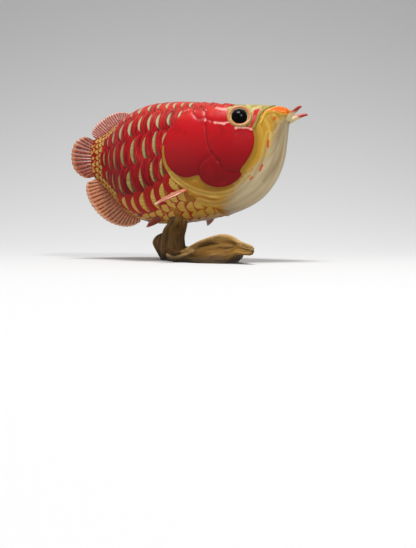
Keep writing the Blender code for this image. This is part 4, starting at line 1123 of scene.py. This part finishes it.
def add(tree, kind, *inputs, out=0, named=None, **settings):
    """Adds a node with its settings and links; a hex code is a colour, another word an attribute."""
    node = tree.nodes.new('ShaderNode' + kind)
    for key, value in settings.items():
        setattr(node, key, value)
    for key, value in [*enumerate(inputs), *(named or {}).items()]:
        if isinstance(value, str) and value[0] != '#':
            value = add(tree, 'Attribute', attribute_name=value, out=2)
        if isinstance(value, bpy.types.NodeSocket):
            tree.links.new(value, node.inputs[key])
        else:
            node.inputs[key].default_value = hex_colour(value) if isinstance(value, str) else value
    return node.outputs[out]


def new_paint(name, roughness, varnish=0, varnish_roughness=0.2, specular=0.5):
    """A material with its shader's constants, and its node tree."""
    made = bpy.data.materials.new(name)
    made.use_nodes = True
    inputs = made.node_tree.nodes['Principled BSDF'].inputs
    inputs['Roughness'].default_value = roughness
    inputs['Coat Weight'].default_value = varnish
    inputs['Coat Roughness'].default_value = varnish_roughness
    inputs['Specular IOR Level'].default_value = specular
    return made, made.node_tree


def coats(tree, colour, *layers):
    """Lays coats over a colour, each from nothing at its start value to its strength at its end."""
    for over, where, start, end, *strength in layers:
        limits = (start, end, 0, *(strength or [1]))
        amount = add(tree, 'MapRange', where, *limits, interpolation_type='SMOOTHSTEP')
        colour = add(tree, 'Mix', named={0: amount, 6: colour, 7: over}, data_type='RGBA', out=2)
    return colour


def object_place(tree):
    """Place on the piece, in metres."""
    return add(tree, 'TexCoord', out=3)


def object_height(tree):
    """Height over the floor, in metres."""
    return add(tree, 'SeparateXYZ', object_place(tree), out=2)


def brush(tree, width, stretch=(1, 1, 1), place=None):
    """Strokes this many millimetres wide, drawn out along an axis whose stretch is small."""
    unit = 1 if place else 1 / MM
    scaled = add(tree, 'VectorMath', place or object_place(tree), stretch, operation='MULTIPLY')
    return add(tree, 'TexNoise', scaled, named={'Scale': unit / width, 'Detail': 3})


def by_hand(tree, name, waver):
    """A painted shape's distance with the waver of a hand in it."""
    shake = add(tree, 'Math', brush(tree, 1.6), waver, -waver / 2, operation='MULTIPLY_ADD')
    return add(tree, 'Math', name, shake, operation='ADD')


def finish(made, colour, height, depth):
    """Gives a material its colour, and a fine relief this many millimetres deep."""
    tree = made.node_tree
    shader = tree.nodes['Principled BSDF']
    relief = add(tree, 'Bump', named={'Height': height, 'Distance': depth * MM})
    tree.links.new(colour, shader.inputs['Base Color'])
    tree.links.new(relief, shader.inputs['Normal'])
    return made


def head_paint():
    """Painted PVC under satin varnish: thick crimson plates, gold and cream in long strokes, painted
    highlights and shade.
    """
    made, tree = new_paint('painted_pvc_head', 0.34, 0.04, 0.2, 0.15)
    chin = brush(tree, 2.4, (1, 0.12, 1), add(tree, 'CombineXYZ', 'chin_across', 'chin_along'))
    edge = brush(tree, 1.8, (1, 0.22, 1), add(tree, 'CombineXYZ', 'cover', 'side_x'))
    # Cream chin in strokes, darker in its folds as painted shade
    cream = coats(tree, '#968260', ('#C0AE8A', chin, 0.3, 0.68), ('#8C7C58', 'fold', 1.1, 0, 0.45))
    # Plates: painted shade low and painted light high, painted shade in the grooves, painted highlights
    # on the glare streaks
    red = coats(
        tree, '#7A0810', ('#B80F18', 'side_z', -20, 10), ('#D4442F', 'side_z', 5, 15, 0.6),
        ('#5E0810', 'groove', 0.6, 0, 0.55), ('#8E0D14', brush(tree, 4), 0.5, 0.7, 0.5),
        ('#F1B4A6', by_hand(tree, 'glare', 1.6), 0.45, -0.3, 0.7),
    )
    gold = coats(tree, '#8E5C18', ('#B88A36', chin, 0.35, 0.65))
    body = coats(tree, red, (gold, by_hand(tree, 'belly', 2), 0.8, -0.8))
    dots = add(tree, 'TexVoronoi', object_place(tree), named={'Scale': 1 / (1.5 * MM)})
    speckled = coats(tree, '#80180E', ('#B48E42', dots, 0.6, 0.48))
    olive = coats(
        tree, '#94853F', ('#BDAE70', brush(tree, 3), 0.35, 0.62),
        ('#E4D6AA', brush(tree, 0.8), 0.52, 0.75, 0.55),
    )
    band = coats(tree, '#94803A', ('#5A4A1C', 'strip', -0.4, -0.05, 0.6))
    lip = coats(
        tree, '#D7A638', ('#DD6418', 'lip', -0.35, -0.8), ('#F0CC68', brush(tree, 1.1), 0.52, 0.68, 0.6),
    )
    colour = coats(
        tree, '#946012',
        # Membrane and jaw: gold, in strokes that follow the plates
        # Lighter higher up as painted light, painted shade along the plates' edge and in the folds,
        # painted highlights beside the folds
        ('#B48626', 'side_z', -28, -8), ('#D6B254', edge, 0.5, 0.7, 0.5),
        ('#7C5A1E', edge, 0.46, 0.3, 0.5), ('#76561E', 'cover', 2.4, 0.3, 0.5),
        ('#DDBC64', 'fold', 1.5, 0.8, 0.35), ('#7E5C1E', 'fold', 0.6, 0, 0.5),
        # Chin with its dashes, nape, body, plates and the specked root of the tail fin
        (cream, by_hand(tree, 'cream', 4), 1.6, -2),
        ('#C04A1C', by_hand(tree, 'dashes', 0.4), 0.15, -0.15),
        (red, by_hand(tree, 'nape', 0.5), 0.3, -0.3), (body, 'gill', -0.1, 0.1),
        (red, by_hand(tree, 'cover', 0.35), 0.12, -0.12), (speckled, 'side_x', -46.2, -46.8),
        # Top of the head with its dashes, red patch, strip and lip
        (olive, by_hand(tree, 'crown', 0.8), 0.3, -0.3),
        ('#C2581C', by_hand(tree, 'crown_dashes', 0.5), 0.15, -0.15),
        ('#B8141A', by_hand(tree, 'patch', 0.3), 0.15, -0.15),
        (band, by_hand(tree, 'strip', 0.2), 0.12, -0.12), (lip, by_hand(tree, 'lip', 0.2), 0.1, -0.1),
    )
    return finish(made, colour, brush(tree, 1.8), 0.1)


def scale_paint():
    """Painted PVC scales: a broad crimson rim in fine strokes round an olive or gold middle, painted
    light and shade.
    """
    made, tree = new_paint('painted_pvc_scales', 0.28, specular=0.17)
    height = object_height(tree)
    place = add(tree, 'CombineXYZ', 'depth', 'across', 'chance')
    strokes = brush(tree, 1, (9, 1, 40), place)
    lines = brush(tree, 1, (1.2, 20, 60), place)
    # Red rim: painted shade low, painted light higher up, and a painted highlight along the rear edge
    red = coats(
        tree, '#6C060E', ('#9E0C14', height, 0.018, 0.05), ('#C83626', height, 0.054, 0.07),
        ('#46040A', strokes, 0.48, 0.64, 0.7), ('#D8503C', strokes, 0.44, 0.3, 0.35),
        ('#E88C7C', 'depth', 0.09, 0, 0.4), ('#A81E12', 'gold', 0.5, 0.9, 0.6),
    )
    # Gold middles darker low as painted shade; olive middles lighter higher up as painted light
    gold = coats(tree, '#9A7628', ('#C8A64A', lines, 0.3, 0.6), ('#B07A24', height, 0.032, 0.022, 0.4))
    olive = coats(
        tree, '#7C7244', ('#A8A07A', height, 0.038, 0.062), (gold, 'gold', 0, 1),
        ('#D8CEA6', lines, 0.52, 0.75, 0.35),
    )
    # Painted shadow: dark under the scale ahead where it overlaps, and painted shade down the cut edge
    painted_shadow = coats(tree, '#3A0806', ('#941E12', 'gold', 0.5, 0.9))
    colour = coats(
        tree, red, (olive, by_hand(tree, 'inner', 0.1), -0.02, 0.035), (painted_shadow, 'depth', 0.9, 1.03, 0.75),
        ('#3A0408', 'wall', 0.02, 0.4),
    )
    return finish(made, colour, strokes, 0.12)


def fin_paint(name, valley, ray, root, tip):
    """Painted PVC fin: pale rays over dark valleys, partly paint and partly painted highlight and shade,
    redder at the root.
    """
    made, tree = new_paint(name, 0.34, 0.15)
    # Rays pale and valleys dark: partly the fin's paint, partly painted highlight and painted shade
    colour = coats(
        tree, valley, (ray, 'ridge', 0.1, 0.75), (tip, brush(tree, 1), 0.5, 0.72, 0.5),
        (root, 'reach', 0.4, 0.05, 0.7), (tip, 'reach', 0.8, 1),
        (valley, brush(tree, 1.2), 0.5, 0.75, 0.5),
    )
    return finish(made, colour, brush(tree, 0.5), 0.08)


def barbel_paint():
    """Painted PVC barbels: cream under the root, coral red to the tip."""
    made, tree = new_paint('painted_pvc_barbels', 0.35)
    # Each colour is lighter on the upper side, as painted light
    cream = coats(tree, '#CDBB88', ('#D9C79A', 'top', -0.5, 0.5))
    red = coats(tree, '#9A2A20', ('#C8503E', 'top', -0.4, 0.8))
    colour = coats(tree, cream, (red, by_hand(tree, 'flush', 0.3), 0.35, 0.6))
    return finish(made, colour, brush(tree, 0.8), 0.05)


def ring_paint():
    """Orange-gold iris with a pale inner line, inside an olive lid."""
    made, tree = new_paint('painted_pvc_eye_rings', 0.35, 0.15)
    colour = coats(
        tree, '#E9D8C6', ('#C8681E', 'ring', 3.66, 3.8), ('#E0A860', brush(tree, 1), 0.5, 0.7, 0.6),
        ('#A08A48', 'ring', 4.35, 4.55),
    )
    return finish(made, colour, brush(tree, 0.6), 0.05)


def eye_paint():
    """Black gloss enamel of the pupil, faintly uneven."""
    made, tree = new_paint('black_gloss_enamel_eye', 0.2, specular=0.08)
    colour = coats(tree, '#010101', ('#070606', brush(tree, 1.5), 0.4, 0.7))
    return finish(made, colour, brush(tree, 1), 0.01)


def wood_paint():
    """PVC cast from driftwood: dark in the grain, ochre over it, painted highlight and shade."""
    made, tree = new_paint('painted_pvc_driftwood', 0.6, specular=0.2)
    place = add(tree, 'CombineXYZ', 'along', 'around')
    lines = brush(tree, 0.8, (0.07, 1, 1), place)
    broad = brush(tree, 3.5, (0.12, 1, 1), place)
    # Painted highlight along the crest with painted shade just off it; painted shade on the post, heel
    # and near the floor
    colour = coats(
        tree, '#845C22', ('#A27A38', broad, 0.35, 0.65), ('#2A1A0C', lines, 0.5, 0.34, 0.8),
        ('#4A3220', 'shade', 0, 1, 0.66), ('#C4A068', lines, 0.56, 0.75, 0.6),
        ('#2A1C10', 'crest', 3.2, 2.2, 0.35), ('#C8A268', by_hand(tree, 'crest', 0.8), 2, 0.9, 0.8),
        ('#0E0B0A', object_height(tree), 0.005, 0.001, 0.85),
    )
    return finish(made, colour, lines, 0.35)


# Light, floor and camera

def make_stage():
    """Plain pale floor that sweeps up behind into a backdrop with no corner."""
    obj, across, along = add_grid('backdrop', 2, 80)
    run = STAGE_FRONT + (along + 1) / 2 * (STAGE_BACK - STAGE_FRONT)
    turn = np.clip((run - SWEEP_START) / SWEEP_RADIUS, 0, math.pi / 2)
    over_top = np.maximum(run - SWEEP_START - SWEEP_RADIUS * math.pi / 2, 0)
    depth = np.minimum(run, SWEEP_START) + SWEEP_RADIUS * np.sin(turn)
    rise = SWEEP_RADIUS * (1 - np.cos(turn)) + over_top
    forward = np.array((-math.sin(CAMERA_AZIMUTH), math.cos(CAMERA_AZIMUTH)))
    right = np.array((math.cos(CAMERA_AZIMUTH), math.sin(CAMERA_AZIMUTH)))
    flat = across[:, None] * STAGE_HALF * right + depth[:, None] * forward
    move_points(obj, np.column_stack([flat, rise]))
    obj.data.shade_smooth()
    made, tree = new_paint('matt_paper', 0.95, specular=0.1)
    # The paper is darker higher up, as painted shade
    grey = coats(tree, '#DBDBDB', ('#D4D4D4', object_height(tree), 0.05, 0.4))
    obj.data.materials.append(finish(made, grey, brush(tree, 2), 0.01))
    # The pale table does not mirror in the varnish
    obj.visible_glossy = False


def outward(azimuth, elevation):
    """Unit vector from the fish towards a place round it."""
    level = math.cos(elevation)
    return Vector((math.sin(azimuth) * level, -math.cos(azimuth) * level, math.sin(elevation)))


def add_around(name, data, away, distance, turn):
    """Sets a light or the camera this far from the middle of the fish."""
    obj = bpy.data.objects.new(name, data)
    obj.matrix_world = Matrix.Translation(Vector(FISH_PLACE * MM) + away * distance) @ turn.to_4x4()
    bpy.context.scene.collection.objects.link(obj)
    return obj


def make_lights():
    """Square soft lights aimed at the fish, in an even pale surround."""
    for name, (azimuth, elevation, distance, side, watts) in LIGHTS.items():
        away = outward(math.radians(azimuth), math.radians(elevation))
        data = bpy.data.lights.new(name, 'AREA')
        data.size = side
        data.energy = watts
        add_around(name, data, away, distance, away.to_track_quat('Z', 'Y').to_matrix())
    world = bpy.data.worlds.new('studio')
    bpy.context.scene.world = world
    world.use_nodes = True
    background = world.node_tree.nodes['Background'].inputs
    background['Color'].default_value = (1, 1, 1, 1)
    background['Strength'].default_value = WORLD_STRENGTH


def make_camera():
    """The camera that took the photograph's main view."""
    data = bpy.data.cameras.new('camera')
    back = outward(CAMERA_AZIMUTH, CAMERA_ELEVATION)
    right = Vector((math.cos(CAMERA_AZIMUTH), math.sin(CAMERA_AZIMUTH), 0))
    turn = Matrix((right, back.cross(right), back)).transposed()
    width, height = PHOTO_SIZE
    data.sensor_fit = 'VERTICAL'
    data.sensor_height = 36
    data.lens = PIXELS_PER_MM * CAMERA_DISTANCE / height * data.sensor_height
    data.shift_x = (width / 2 - FISH_PIXEL[0]) / height
    data.shift_y = -(height / 2 - FISH_PIXEL[1]) / height
    data.clip_start = 0.01
    scene = bpy.context.scene
    scene.camera = add_around('camera', data, back, CAMERA_DISTANCE * MM, turn)
    scene.view_settings.view_transform = 'Standard'


def make_scales():
    """All the scales, in four joined pieces."""
    draw = np.random.default_rng(5)
    paint = scale_paint()
    plates = (
        ('scales', large_scales(draw), (16, 8), SCALE_RISE, True),
        ('nape_scales', nape_scales(draw), (12, 6), NAPE_RISE, False),
        ('belly_scales', belly_scales(draw), (8, 5), BELLY_RISE, True),
        ('specks', speck_scales(draw), (6, 4), SPECK_RISE, True),
    )
    for plate in plates:
        settle(lay_scales(*plate), paint, 'scale_paint')


def make_fish():
    """Every piece of the fish, with its paint; returns the skin."""
    fish = make_skin()
    settle(fish, head_paint(), 'head_paint', 'head', 'torso', 'tail')
    make_scales()
    for name, fin in (
            ('dorsal', make_median_fin('fin_dorsal', 1, DORSAL_BASE, DORSAL_EDGE, DORSAL_RAYS)),
            ('anal', make_median_fin('fin_anal', -1, ANAL_BASE, ANAL_EDGE, ANAL_RAYS)),
            ('caudal', make_caudal_fin())):
        settle(fin, fin_paint('painted_pvc_' + name, *FIN_COLOURS[name]), 'fin_paint', name + '_fin')
    paired = {name: fin_paint(f'painted_pvc_{name}s', *FIN_COLOURS[name]) for name in PAIRED_FINS}
    black, rings, coral = eye_paint(), ring_paint(), barbel_paint()
    for name, side in (('left', 1), ('right', -1)):
        for kind, (root, tips, across, size) in PAIRED_FINS.items():
            root = root * np.array((1, side, 1))
            fin = make_leaf(kind + '_' + name, root, tips[side], across[side], size)
            settle(fin, paired[kind], kind + '_paint', kind + '_fin_' + name)
        settle(make_barbel('whisker_' + name, side), coral, 'barbel_paint', 'barbel_' + name)
        settle(make_eye('dome_' + name, side), black, 'eye_paint', 'eye_' + name)
        settle(make_lid('lid_' + name, side), rings, 'head_paint')
    return fish


settle(make_stand(make_fish()), wood_paint(), 'wood_paint', 'stand_driftwood')
make_stage()
make_lights()
make_camera()
